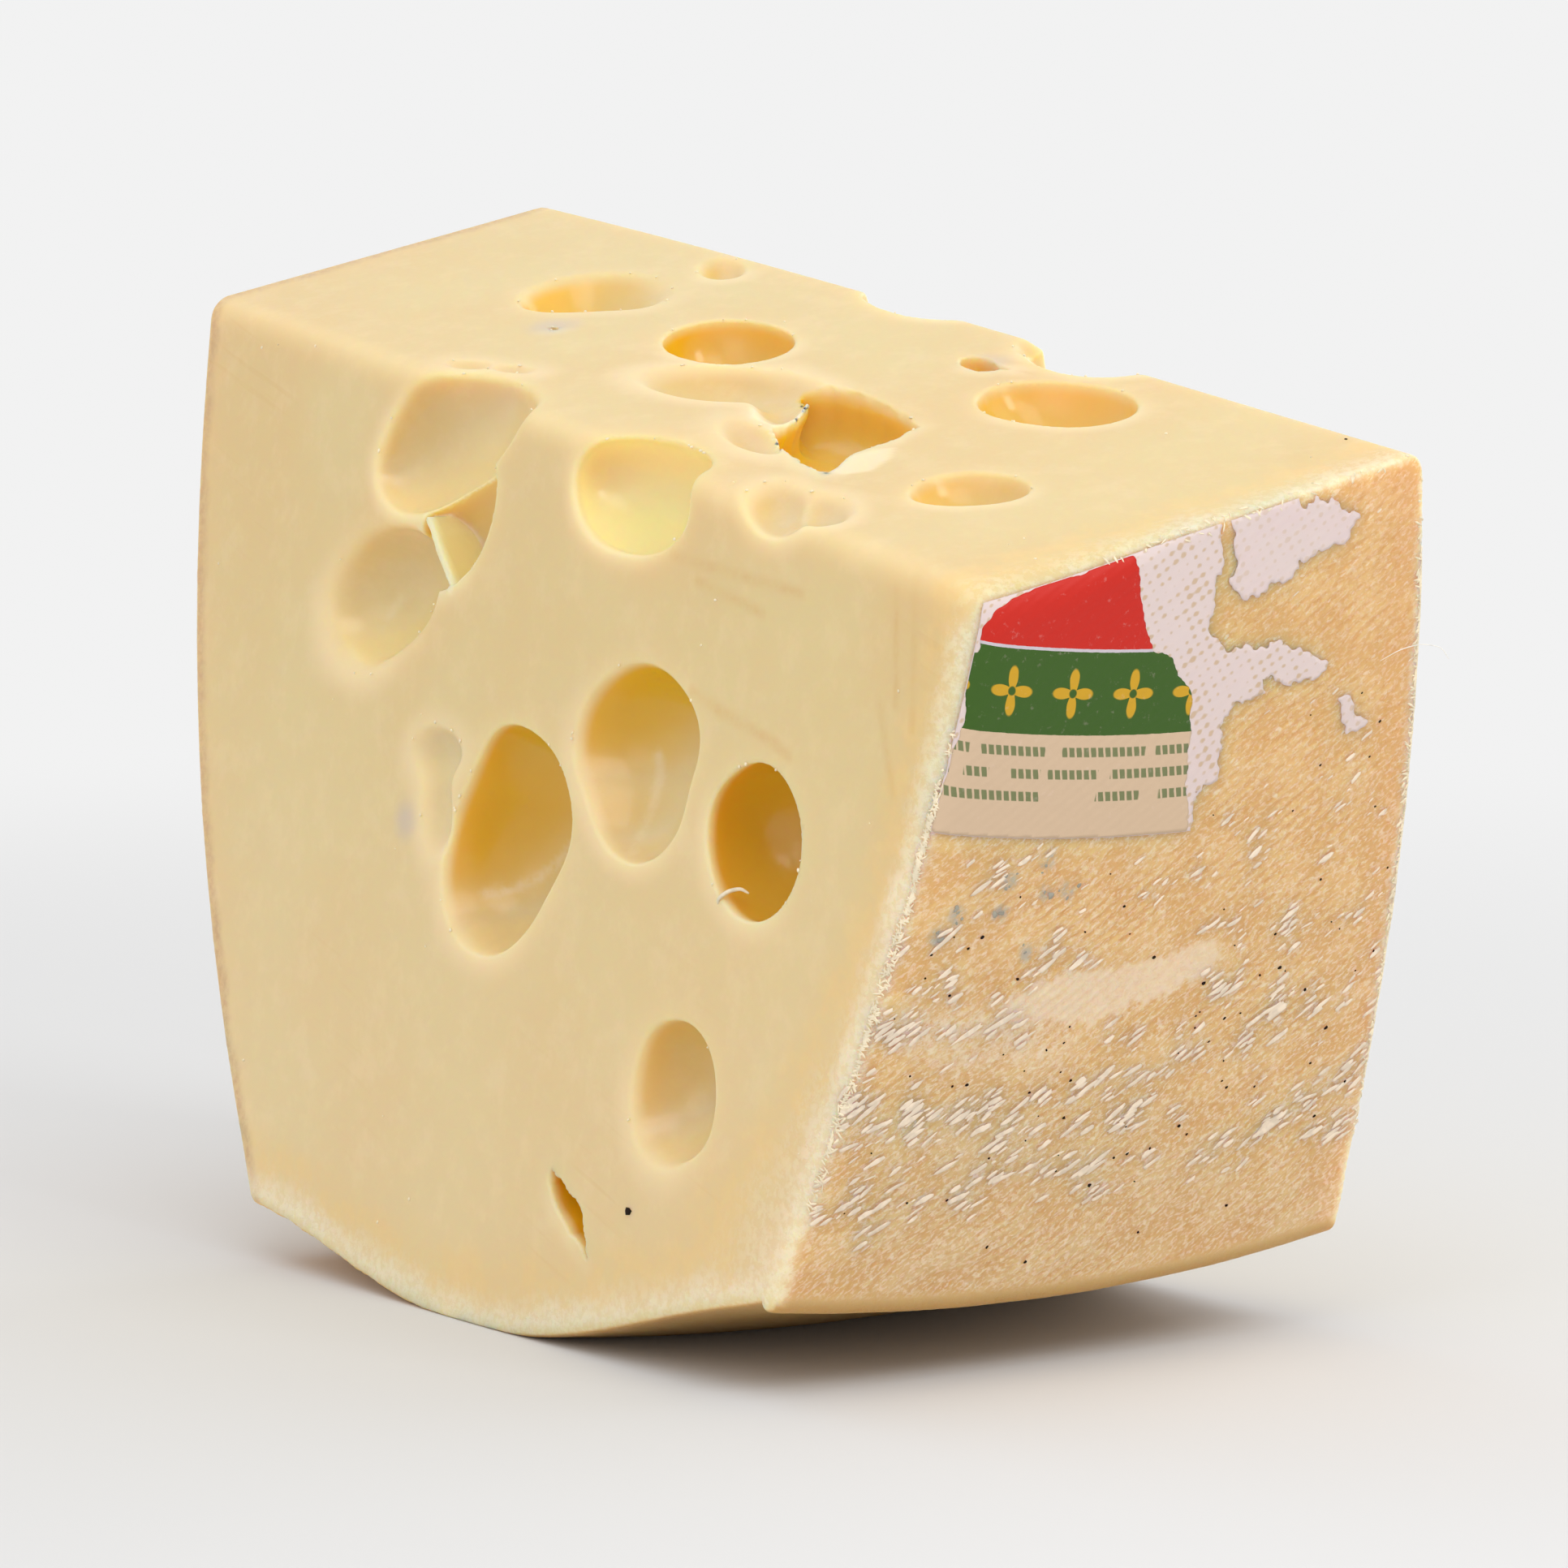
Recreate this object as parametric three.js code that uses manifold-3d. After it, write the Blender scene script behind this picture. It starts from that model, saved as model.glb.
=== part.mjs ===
// A free-standing block of hard cheese with round eyes, cut as a sector from a large wheel.
//
// Everything is built in the wheel's own frame, in millimetres: X runs along the wheel's axis,
// Z points from the rim to the wheel's centre and Y runs round the rim. "Depth" is the distance
// inward from the rim. The finished pieces are then leaned as the block stands, cut flat
// underneath, and moved so that the origin is the middle of the bottom of the block.
//
// The block has two radial cut faces (front at -Y, back at +Y), a sloping top cut, the wheel's
// two domed rind faces (right at +X, left at -X) and its bulging heel below. What is left of the
// paper label lies on the right rind face: the torn label and one loose scrap.

import * as THREE from 'three';
import { mergeVertices } from 'three/addons/utils/BufferGeometryUtils.js';
import Module from 'manifold-3d';

const wasm = await Module();
wasm.setup();

// ---------------------------------------------------------------- driving dimensions (mm)

const WHEEL_RADIUS = 370;
const HEEL_HALF_WIDTH = 78;       // half the wheel's thickness at the rim
const HEEL_BULGE = 12.5;          // how far the heel stands out between the two rims
const HEEL_SKEW = -0.14;          // moves the bulge a little towards the left face
const HEEL_POINTEDNESS = -0.83;   // the bulge is fuller in the middle than a plain arc
const LIP_WIDTH = 2.6;            // smooth lip round the right rim
const LIP_HEIGHT = 1.2;           // the heel starts this far inside the lip
const LIP_FADE = 7;               // and comes level with it over about this width
const LIP_STEP = 0.3;             // width of the step between lip and heel

// Half thickness of the wheel, right and left of its middle plane, every DOME_STEP of depth.
const DOME_STEP = 30;
const RIGHT_DOME = [78, 92, 104.3, 114, 121, 125, 127, 127.5];
const LEFT_DOME = [78, 92, 102.5, 109, 112, 112, 110, 107];

const FRONT_CUT = { offset: -54.6, slope: 0.12 };   // y = offset + slope * z
const BACK_CUT = { offset: 55.4, slope: -0.125 };
const TOP_CUT = { height: 143.3, slopeX: -0.192, slopeY: 0.22 };

const LEAN_LEFT = 1.665;          // degrees that the block leans towards its left face
const LEAN_FRONT = 1.08;          // degrees that it leans towards its front cut
const REST_LEVEL = -8.9;          // height, in the leaned frame, of the flat that it rests on

const LABEL_GAP = 0.35;           // between the rind and the paper
const LABEL_THICKNESS = 0.45;
const LABEL_INNER_DEPTH = 73.2;   // depth of the label's printed lower edge, an arc
const LABEL_EDGE_INSET = 0.6;     // paper stops this far inside the cut edges

// ---------------------------------------------------------------- mesh density

const SECTOR_HALF_ANGLE = THREE.MathUtils.degToRad(12.5);
const SECTOR_STEPS = 20;
const FACE_STEPS = 16;            // profile points down each rind face
const HEEL_STEPS = 18;            // profile points across the heel
const SECTOR_DEPTH = 190;
const EYE_SIDES_PER_MM = 0.9;     // sides round an eye for each millimetre of its half size
const EYE_SIDES = [10, 20];       // fewest and most
const CUTTER_SIZE = 600;

// ---------------------------------------------------------------- solids

function solidOf(geometry) {
  const bare = geometry.clone();
  bare.deleteAttribute('normal');
  bare.deleteAttribute('uv');
  const merged = mergeVertices(bare, 1e-4);
  return new wasm.Manifold(new wasm.Mesh({
    numProp: 3,
    vertProperties: new Float32Array(merged.attributes.position.array),
    triVerts: new Uint32Array(merged.index.array),
  }));
}

function geometryOf(solid) {
  const mesh = solid.getMesh();
  const geometry = new THREE.BufferGeometry();
  geometry.setAttribute('position', new THREE.BufferAttribute(new Float32Array(mesh.vertProperties), 3));
  geometry.setIndex(new THREE.BufferAttribute(new Uint32Array(mesh.triVerts), 1));
  geometry.computeVertexNormals();
  return geometry;
}

// ---------------------------------------------------------------- the wheel's cross-section

// Smooth half thickness at a depth, through the values of a dome table.
function domeHalf(dome, depth) {
  const at = THREE.MathUtils.clamp(depth / DOME_STEP, 0, dome.length - 1.001);
  const i = Math.floor(at);
  const t = at - i;
  const p0 = i === 0 ? 2 * dome[0] - dome[1] : dome[i - 1];
  const p1 = dome[i];
  const p2 = dome[i + 1];
  const p3 = dome[Math.min(i + 2, dome.length - 1)];
  return 0.5 * (2 * p1 + (p2 - p0) * t + (2 * p0 - 5 * p1 + 4 * p2 - p3) * t * t
    + (3 * p1 - p0 - 3 * p2 + p3) * t * t * t);
}

function heelBulge(x) {
  const q = x / HEEL_HALF_WIDTH;
  const besideLip = LIP_HEIGHT * Math.exp((x - HEEL_HALF_WIDTH + LIP_WIDTH) / LIP_FADE);
  return HEEL_BULGE * (1 - q * q) * (1 + HEEL_SKEW * q + HEEL_POINTEDNESS * q * q) - besideLip;
}

// Closed outline of the wheel's section as [x, depth], right face first, then heel, then left.
function wheelProfile() {
  const profile = [];
  for (let i = 0; i < FACE_STEPS; i += 1) {
    const depth = SECTOR_DEPTH * (1 - i / FACE_STEPS);
    profile.push([domeHalf(RIGHT_DOME, depth), depth]);
  }
  profile.push([HEEL_HALF_WIDTH, 0]);
  profile.push([HEEL_HALF_WIDTH - LIP_WIDTH + LIP_STEP, 0]);
  for (let i = 0; i <= HEEL_STEPS; i += 1) {
    const x = THREE.MathUtils.lerp(HEEL_HALF_WIDTH - LIP_WIDTH, -HEEL_HALF_WIDTH, i / HEEL_STEPS);
    profile.push([x, -heelBulge(x)]);
  }
  for (let i = 1; i <= FACE_STEPS; i += 1) {
    const depth = SECTOR_DEPTH * (i / FACE_STEPS);
    profile.push([-domeHalf(LEFT_DOME, depth), depth]);
  }
  return profile;
}

// A closed outline in [x, depth] swept round the wheel's centre through the sector.
function sweepRoundWheel(profile, steps) {
  const positions = [];
  const index = [];
  const count = profile.length;
  for (let s = 0; s <= steps; s += 1) {
    const angle = THREE.MathUtils.lerp(-SECTOR_HALF_ANGLE, SECTOR_HALF_ANGLE, s / steps);
    for (const [x, depth] of profile) {
      const radius = WHEEL_RADIUS - depth;
      positions.push(x, radius * Math.sin(angle), WHEEL_RADIUS - radius * Math.cos(angle));
    }
  }
  for (let s = 0; s < steps; s += 1) {
    for (let i = 0; i < count; i += 1) {
      const a = s * count + i;
      const b = s * count + (i + 1) % count;
      index.push(a, b, a + count, b, b + count, a + count);
    }
  }
  const outline = profile.map(([x, depth]) => new THREE.Vector2(x, -depth));
  const last = steps * count;
  for (const [a, b, c] of THREE.ShapeUtils.triangulateShape(outline, [])) {
    index.push(a, c, b);
    index.push(last + a, last + b, last + c);
  }
  const geometry = new THREE.BufferGeometry();
  geometry.setAttribute('position', new THREE.Float32BufferAttribute(positions, 3));
  geometry.setIndex(index);
  return geometry;
}

function outwardSolid(geometry) {
  let solid = solidOf(geometry);
  if (solid.volume() < 0) {
    const index = geometry.index.array;
    for (let i = 0; i < index.length; i += 3) {
      [index[i], index[i + 1]] = [index[i + 1], index[i]];
    }
    solid = solidOf(geometry);
  }
  return solid;
}

// ---------------------------------------------------------------- the cut faces

// A cut face has a point for each (across, along), two unit directions in it and one pointing out.
function cutFace(pointAt) {
  const origin = pointAt(0, 0);
  const across = pointAt(1, 0).sub(origin).normalize();
  const along = pointAt(0, 1).sub(origin).normalize();
  const outward = new THREE.Vector3().crossVectors(across, along).normalize();
  const alongSquare = new THREE.Vector3().crossVectors(outward, across);
  return { pointAt, across, along: alongSquare, outward };
}

const frontFace = cutFace((x, z) => new THREE.Vector3(x, FRONT_CUT.offset + FRONT_CUT.slope * z, z));
const topFace = cutFace((x, y) => new THREE.Vector3(
  x,
  y,
  TOP_CUT.height + TOP_CUT.slopeX * x + TOP_CUT.slopeY * y,
));
const backFace = cutFace((x, z) => new THREE.Vector3(-x, BACK_CUT.offset + BACK_CUT.slope * z, z));

// The half of space outside a face, moved inward by an inset.
function outsideOf(face, inset) {
  const box = new THREE.BoxGeometry(CUTTER_SIZE, CUTTER_SIZE, CUTTER_SIZE);
  const basis = new THREE.Matrix4().makeBasis(face.across, face.along, face.outward);
  const centre = face.pointAt(0, 0).addScaledVector(face.outward, CUTTER_SIZE / 2 - inset);
  box.applyMatrix4(basis.setPosition(centre));
  return solidOf(box);
}

// ---------------------------------------------------------------- eyes

// An ellipsoid with its own directions and half sizes.
function bubble(centre, directions, halves) {
  const wanted = Math.round(EYE_SIDES_PER_MM * Math.max(...halves));
  const sides = THREE.MathUtils.clamp(wanted, ...EYE_SIDES);
  const ball = new THREE.SphereGeometry(1, sides, Math.round(sides * 0.7));
  ball.scale(...halves);
  ball.applyMatrix4(new THREE.Matrix4().makeBasis(...directions).setPosition(centre));
  return solidOf(ball);
}

// An eye cut open by a face: the size of its opening, its depth and the turn of its long side.
function eyeIn(face, { at, wide, tall, deep, turn = 0 }) {
  const angle = THREE.MathUtils.degToRad(turn);
  const first = face.across.clone().multiplyScalar(Math.cos(angle))
    .addScaledVector(face.along, Math.sin(angle));
  const second = new THREE.Vector3().crossVectors(face.outward, first);
  const opening = (wide + tall) / 4;
  const radius = (opening * opening + deep * deep) / (2 * deep);
  const swell = radius / opening;
  const centre = face.pointAt(...at).addScaledVector(face.outward, radius - deep);
  return bubble(centre, [first, second, face.outward], [
    (wide / 2) * swell,
    (tall / 2) * swell,
    radius,
  ]);
}

// An eye that an edge cuts open: a centre, half sizes, and a turn about the Y direction.
function eyeAtEdge({ centre, halves, turn = 0 }) {
  const angle = THREE.MathUtils.degToRad(turn);
  const first = new THREE.Vector3(Math.cos(angle), 0, Math.sin(angle));
  const second = new THREE.Vector3(0, 1, 0);
  const third = new THREE.Vector3().crossVectors(first, second);
  return bubble(new THREE.Vector3(...centre), [first, second, third], halves);
}

const FRONT_EYES = [
  { at: [-47.2, 107.4], wide: 35.5, tall: 22, deep: 11, turn: 16 },   // high on the left
  { at: [32, 86.2], wide: 33.5, tall: 23.6, deep: 11.5, turn: 1 },    // kidney, upper half
  { at: [33.4, 76.6], wide: 17.5, tall: 25, deep: 7.5, turn: 94 },    // kidney, lower half
  { at: [-5, 67.8], wide: 37, tall: 29.4, deep: 16, turn: 40 },       // the largest
  { at: [0.4, 75.4], wide: 22, tall: 30, deep: 12, turn: 59 },        // its upper end
  { at: [65.4, 73], wide: 24.8, tall: 23, deep: 17, turn: 169 },      // deep one by the rind
  { at: [48.2, 33.6], wide: 22.6, tall: 23.2, deep: 10, turn: 127 },  // low
  { at: [18.9, 14.5], wide: 11.2, tall: 4.2, deep: 8, turn: 115 },    // slit near the heel
  { at: [25.3, 10.7], wide: 9, tall: 2.8, deep: 6, turn: 114 },       // its lower end
  { at: [-25.8, 80.6], wide: 15.2, tall: 9.2, deep: 1.9 },            // faint dent
  { at: [-29, 70.8], wide: 14.3, tall: 10, deep: 1.7, turn: 25 },     // and the one under it
];

const TOP_EYES = [
  { at: [-55.4, 4], wide: 19, tall: 20, deep: 8, turn: 14 },
  { at: [-53, 7.2], wide: 27.2, tall: 19.1, deep: 3.6, turn: 14 },    // its shallow end
  { at: [-10.7, 4], wide: 28.1, tall: 19.3, deep: 12, turn: 172 },
  { at: [8.5, -8.6], wide: 35.4, tall: 16.1, deep: 3.8, turn: 20 },   // shallow scoop
  { at: [20.4, -7.9], wide: 29.7, tall: 8.3, deep: 3.4, turn: 145 },  // its lobe
  { at: [32.2, -21.6], wide: 23, tall: 7.6, deep: 4, turn: 167 },     // scoop at the ragged eye's side
  { at: [36.4, -7.8], wide: 33, tall: 18, deep: 11, turn: 172 },      // big ragged eye
  { at: [45.4, -17.4], wide: 25, tall: 9.6, deep: 9, turn: 154 },     // its front corner
  { at: [33.3, 22.6], wide: 9.2, tall: 4.7, deep: 5, turn: 168 },
  { at: [59, 18.3], wide: 29.9, tall: 19.9, deep: 10, turn: 12 },
  { at: [80.3, -14.8], wide: 15.4, tall: 19, deep: 6.5, turn: 120 },
  { at: [62.8, -38], wide: 23.6, tall: 12, deep: 4.4, turn: 147 },    // shallow, at the front edge
  { at: [68.8, -34.6], wide: 16.5, tall: 10.3, deep: 3.2, turn: 161 },
  { at: [-46.6, 27.6], wide: 7.8, tall: 13.3, deep: 2.2, turn: 67 },
  { at: [-32.6, -28.3], wide: 11.5, tall: 8.2, deep: 1.8, turn: 36 },
  { at: [33.5, 34.5], wide: 13.5, tall: 8.5, deep: 2.6, turn: 155 },  // scoop beside a back notch
];

const EDGE_EYES = [
  { centre: [-29.6, -38.8, 134.2], halves: [23.5, 10.8, 11.4], turn: 20 },  // front top edge, left
  { centre: [-25.4, -38.9, 119.6], halves: [8.8, 8, 13.6], turn: -42 },     // pocket under it
  { centre: [25.2, -34.8, 123.9], halves: [17.2, 11.4, 9.2], turn: -7 },    // front top edge, middle
  { centre: [-2, 37, 151], halves: [14.5, 6.5, 9] },                  // back top edge, left notch
  { centre: [44.5, 38, 142], halves: [14, 10, 10] },                  // back top edge, right notch
];

const BACK_EYES = [
  { at: [-62, 94], wide: 24, tall: 22, deep: 11, turn: 10 },
  { at: [-26, 98], wide: 30, tall: 27, deep: 13, turn: 20 },
  { at: [20, 66], wide: 35, tall: 32, deep: 15 },
  { at: [62, 100], wide: 27, tall: 23, deep: 12, turn: -15 },
  { at: [-66, 52], wide: 19, tall: 22, deep: 8 },
  { at: [-24, 46], wide: 23, tall: 25, deep: 10, turn: 30 },
  { at: [62, 44], wide: 21, tall: 18, deep: 9 },
  { at: [16, 20], wide: 16, tall: 14, deep: 6, turn: 40 },
];

// ---------------------------------------------------------------- lean and rest

function leanedAsItStands(geometry) {
  geometry.rotateX(THREE.MathUtils.degToRad(LEAN_FRONT));
  geometry.rotateY(THREE.MathUtils.degToRad(-LEAN_LEFT));
  return geometry;
}

function belowRestLevel() {
  const box = new THREE.BoxGeometry(CUTTER_SIZE, CUTTER_SIZE, CUTTER_SIZE);
  box.translate(0, 0, REST_LEVEL - CUTTER_SIZE / 2);
  return solidOf(box);
}

// ---------------------------------------------------------------- the cheese

function makeCheese() {
  let block = outwardSolid(sweepRoundWheel(wheelProfile(), SECTOR_STEPS));
  for (const face of [frontFace, backFace, topFace]) {
    block = block.subtract(outsideOf(face, 0));
  }
  const eyes = [
    ...FRONT_EYES.map((eye) => eyeIn(frontFace, eye)),
    ...TOP_EYES.map((eye) => eyeIn(topFace, eye)),
    ...BACK_EYES.map((eye) => eyeIn(backFace, eye)),
    ...EDGE_EYES.map(eyeAtEdge),
  ];
  for (const eye of eyes) {
    block = block.subtract(eye);
  }
  const leaned = solidOf(leanedAsItStands(geometryOf(block)));
  return geometryOf(leaned.subtract(belowRestLevel()));
}

// ---------------------------------------------------------------- the paper label

// The torn right side of the label as [y, z], from its lower corner to the top cut.
const LABEL_TEAR = [
  [2.6, 74], [3.5, 80.8], [7.1, 80.7], [5.5, 88.5], [7.7, 92.4], [13.5, 93.1], [11.9, 95.5],
  [19.7, 94], [25.7, 97], [13.7, 100.5], [5, 100.5], [0.9, 103.1], [1.4, 112], [0.8, 128],
];

// The loose scrap beside it, as [y, z].
const SCRAP_OUTLINE = [
  [3, 128], [4.2, 112.2], [6.4, 107.1], [14.7, 109.4], [17.4, 112.7], [23.3, 114.4],
  [27.8, 117.5], [27.9, 120.1], [21.4, 122.1], [15.2, 121.2], [12, 128],
];

// Paper that follows the right rind face, before it is cut to shape.
function paperSheet() {
  const steps = 24;
  const [from, to] = [66, 134];
  const profile = [];
  for (let i = 0; i <= steps; i += 1) {
    const depth = THREE.MathUtils.lerp(from, to, i / steps);
    profile.push([domeHalf(RIGHT_DOME, depth) + LABEL_GAP, depth]);
  }
  for (let i = steps; i >= 0; i -= 1) {
    const depth = THREE.MathUtils.lerp(from, to, i / steps);
    profile.push([domeHalf(RIGHT_DOME, depth) + LABEL_GAP + LABEL_THICKNESS, depth]);
  }
  let sheet = outwardSolid(sweepRoundWheel(profile, SECTOR_STEPS));
  for (const face of [frontFace, topFace]) {
    sheet = sheet.subtract(outsideOf(face, LABEL_EDGE_INSET));
  }
  return sheet;
}

// A prism along the wheel's axis over an outline in [y, z].
function prismOver(outline) {
  const shape = new THREE.Shape(outline.map(([y, z]) => new THREE.Vector2(y, z)));
  const prism = new THREE.ExtrudeGeometry(shape, { depth: 2 * WHEEL_RADIUS, bevelEnabled: false });
  const basis = new THREE.Matrix4().makeBasis(
    new THREE.Vector3(0, 1, 0),
    new THREE.Vector3(0, 0, 1),
    new THREE.Vector3(1, 0, 0),
  );
  prism.applyMatrix4(basis);
  return outwardSolid(prism);
}

// The label's lower edge, an arc round the wheel's centre, from beyond the front cut.
function labelArc() {
  const radius = WHEEL_RADIUS - LABEL_INNER_DEPTH;
  const arc = [];
  for (let y = -60; y <= 0; y += 6) {
    arc.push([y, WHEEL_RADIUS - Math.sqrt(radius * radius - y * y)]);
  }
  return arc;
}

function makePaper(outline) {
  const paper = paperSheet().intersect(prismOver(outline));
  return leanedAsItStands(geometryOf(paper));
}

// ---------------------------------------------------------------- assembly

function pieceOf(name, geometry, look) {
  const mesh = new THREE.Mesh(geometry, new THREE.MeshStandardMaterial(look));
  mesh.name = name;
  return mesh;
}

const cheese = pieceOf('cheese', makeCheese(), { color: 0xe8cd94, roughness: 0.5, metalness: 0 });
const label = pieceOf(
  'label',
  makePaper([...labelArc(), ...LABEL_TEAR, [-60, 128]]),
  { color: 0xefd9c8, roughness: 0.8, metalness: 0 },
);
const scrap = pieceOf(
  'label_scrap',
  makePaper(SCRAP_OUTLINE),
  { color: 0xf0e2dc, roughness: 0.85, metalness: 0 },
);

const group = new THREE.Group();
group.add(cheese, label, scrap);

// The origin is the middle of the bottom of everything that the block carries.
const box = new THREE.Box3().setFromObject(group);
group.position.set(
  -(box.min.x + box.max.x) / 2,
  -(box.min.y + box.max.y) / 2,
  -box.min.z,
);
group.updateMatrixWorld(true);

export default group;
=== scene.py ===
"""A block of pale hard cheese with large eyes, cut from a wheel, with the torn rest of a paper label."""

import math

import bpy
import bmesh
import numpy as np
from mathutils import Matrix


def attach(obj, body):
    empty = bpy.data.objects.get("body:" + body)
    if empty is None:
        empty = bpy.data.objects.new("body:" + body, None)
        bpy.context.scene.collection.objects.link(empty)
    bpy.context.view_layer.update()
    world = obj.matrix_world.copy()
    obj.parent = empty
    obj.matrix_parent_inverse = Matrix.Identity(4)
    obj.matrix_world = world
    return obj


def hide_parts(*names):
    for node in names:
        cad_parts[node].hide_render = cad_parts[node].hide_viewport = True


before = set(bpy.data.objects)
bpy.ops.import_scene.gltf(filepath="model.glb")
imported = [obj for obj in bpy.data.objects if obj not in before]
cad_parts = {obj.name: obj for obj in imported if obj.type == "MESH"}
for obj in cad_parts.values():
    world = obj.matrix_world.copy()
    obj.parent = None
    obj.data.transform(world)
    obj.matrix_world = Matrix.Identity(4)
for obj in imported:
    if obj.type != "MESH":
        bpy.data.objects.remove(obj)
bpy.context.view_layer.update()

# Shapes are worked out in the wheel's own frame, in millimetres: X along the wheel's axis towards
# the labelled face, Z from the rim to the wheel's centre, Y round the rim, away from the front cut.
# "Depth" is the distance inward from the rim.

MM = 0.001

# --- The wheel and the three cuts

WHEEL_RADIUS = 370.0
HEEL_HALF_WIDTH, HEEL_BULGE, HEEL_SKEW, HEEL_POINTEDNESS = 78.0, 12.5, -0.14, -0.83
HEEL_TILT = 0.97  # mean cosine of the heel's slope
LIP_WIDTH, LIP_HEIGHT, LIP_FADE = 2.6, 1.2, 7.0
LIP_FACE = 2.7  # smooth band above the right rim

# Half the wheel's thickness at each step of depth.
DOME_STEP = 30.0
RIGHT_DOME = np.array([78, 92, 104.3, 114, 121, 125, 127, 127.5, 127.5])
LEFT_DOME = np.array([78, 92, 102.5, 109, 112, 112, 110, 107, 103])

FRONT_OFFSET, FRONT_SLOPE = -54.6, 0.12
BACK_OFFSET, BACK_SLOPE = 55.4, -0.125
TOP_HEIGHT, TOP_SLOPE_X, TOP_SLOPE_Y = 143.9, -0.192, 0.22
TOP_CROWN, TOP_WAVE, TOP_HALF = -1.1, 0.56, 116.0

LEAN_LEFT, LEAN_FRONT = math.radians(1.665), math.radians(1.08)
REST_LEVEL = -8.9
STAND_X, STAND_Y = -1.062, -0.590  # the wheel frame's origin, seen from the middle of the block

# How soft the edges are: between the cuts, between a cut and the rind, how much more at the crease
# beside the labelled face and where that is worn near the top, and round the rims.
CUT_ROUND, RIND_ROUND, CREASE_ROUND, CORNER_ROUND, RIM_ROUND = 3.4, 1.6, 2.4, 5.6, 1.2

# --- Small helpers

RIPPLES = 4  # waves that add up to one ripple
CUTS, RINDS = ("front", "top", "back"), ("right", "left", "heel")


def array(values):
    return np.array(values, float)


def lengths(vectors):
    return np.linalg.norm(vectors, axis=1)


def unit(vector):
    return vector / np.linalg.norm(vector)


def units(vectors):
    return vectors / lengths(vectors)[:, None]


def ramp(value, low, high):
    """0 at low, 1 at high and smooth between."""
    t = np.clip((value - low) / (high - low), 0, 1)
    return t * t * (3 - 2 * t)


def smooth_max(a, b, width):
    h = np.clip(0.5 + 0.5 * (a - b) / width, 0, 1)
    return b + (a - b) * h + width * h * (1 - h)


def ripple(points, wavelength, seed):
    """A soft random wave between about -1 and 1 in space, the same on every run."""
    draw = np.random.default_rng(seed)
    total = np.zeros(len(points))
    for _ in range(RIPPLES):
        direction = unit(draw.normal(size=3)) * 2 * math.pi / (wavelength * draw.uniform(0.7, 1.5))
        total += np.sin(points @ direction + draw.uniform(0, 2 * math.pi))
    return total / RIPPLES * 1.6


# --- From the wheel to the table

STAND = (
    Matrix.Translation((STAND_X, STAND_Y, -REST_LEVEL))
    @ Matrix.Rotation(-LEAN_LEFT, 4, "Y")
    @ Matrix.Rotation(LEAN_FRONT, 4, "X")
)
TURN, SHIFT = array(STAND.to_3x3()), array(STAND.to_translation())


def placed(points):
    """From the wheel's frame in millimetres to the frame of the whole, in metres."""
    return (points @ TURN.T + SHIFT) * MM


# --- The block as a distance field

DEPTHS = np.arange(0, DOME_STEP * (len(RIGHT_DOME) - 1), 0.1)


def smooth_dome(dome):
    """A dome table's smooth half thickness and its slope, at each of DEPTHS."""
    i = (DEPTHS / DOME_STEP).astype(int)
    t = DEPTHS / DOME_STEP - i
    low = np.concatenate([[2 * dome[0] - dome[1]], dome])
    p0, p1 = low[i], dome[i]
    p2, p3 = dome[i + 1], dome[np.minimum(i + 2, len(dome) - 1)]
    half = 0.5 * (2 * p1 + (p2 - p0) * t + (2 * p0 - 5 * p1 + 4 * p2 - p3) * t**2
                  + (3 * p1 - p0 - 3 * p2 + p3) * t**3)
    return half, np.gradient(half, DEPTHS)


RIGHT_HALF, RIGHT_SLOPE = smooth_dome(RIGHT_DOME)
LEFT_HALF, LEFT_SLOPE = smooth_dome(LEFT_DOME)


def heel_bulge(x):
    q = x / HEEL_HALF_WIDTH
    shape = HEEL_BULGE * (1 - q * q) * (1 + HEEL_SKEW * q + HEEL_POINTEDNESS * q * q)
    inside_lip = x - HEEL_HALF_WIDTH + LIP_WIDTH
    beside_lip = LIP_HEIGHT * np.exp(np.minimum(inside_lip, 0) / LIP_FADE)
    on_lip = ramp(inside_lip, -0.2, 0.3)
    return np.where(np.abs(q) < 1, shape, shape * 0.3) - beside_lip * (1 - on_lip)


def depth_of(points):
    return WHEEL_RADIUS - np.hypot(points[:, 1], WHEEL_RADIUS - points[:, 2])


def top_height(x, y):
    q = x / TOP_HALF
    return TOP_HEIGHT + TOP_SLOPE_X * x + TOP_SLOPE_Y * y + TOP_CROWN * q * q + TOP_WAVE * (q**3 - q)


def distances(points):
    """Signed distances to the six faces, negative inside: right, left, heel, front, back and top."""
    x, y, z = points.T
    depth = depth_of(points)
    sides = {}
    for name, sign, half, slope in (
        ("right", 1, RIGHT_HALF, RIGHT_SLOPE),
        ("left", -1, LEFT_HALF, LEFT_SLOPE),
    ):
        tilt = np.sqrt(1 + np.interp(depth, DEPTHS, slope) ** 2)
        sides[name] = (sign * x - np.interp(depth, DEPTHS, half)) / tilt
    sides["heel"] = -(depth + heel_bulge(x)) * HEEL_TILT
    sides["front"] = (FRONT_OFFSET + FRONT_SLOPE * z - y) / math.hypot(1, FRONT_SLOPE)
    sides["back"] = (y - BACK_OFFSET - BACK_SLOPE * z) / math.hypot(1, BACK_SLOPE)
    sides["top"] = (z - top_height(x, y)) / math.sqrt(1 + TOP_SLOPE_X**2 + TOP_SLOPE_Y**2)
    return sides


def most(sides, names):
    return np.max([sides[name] for name in names], axis=0)


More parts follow.
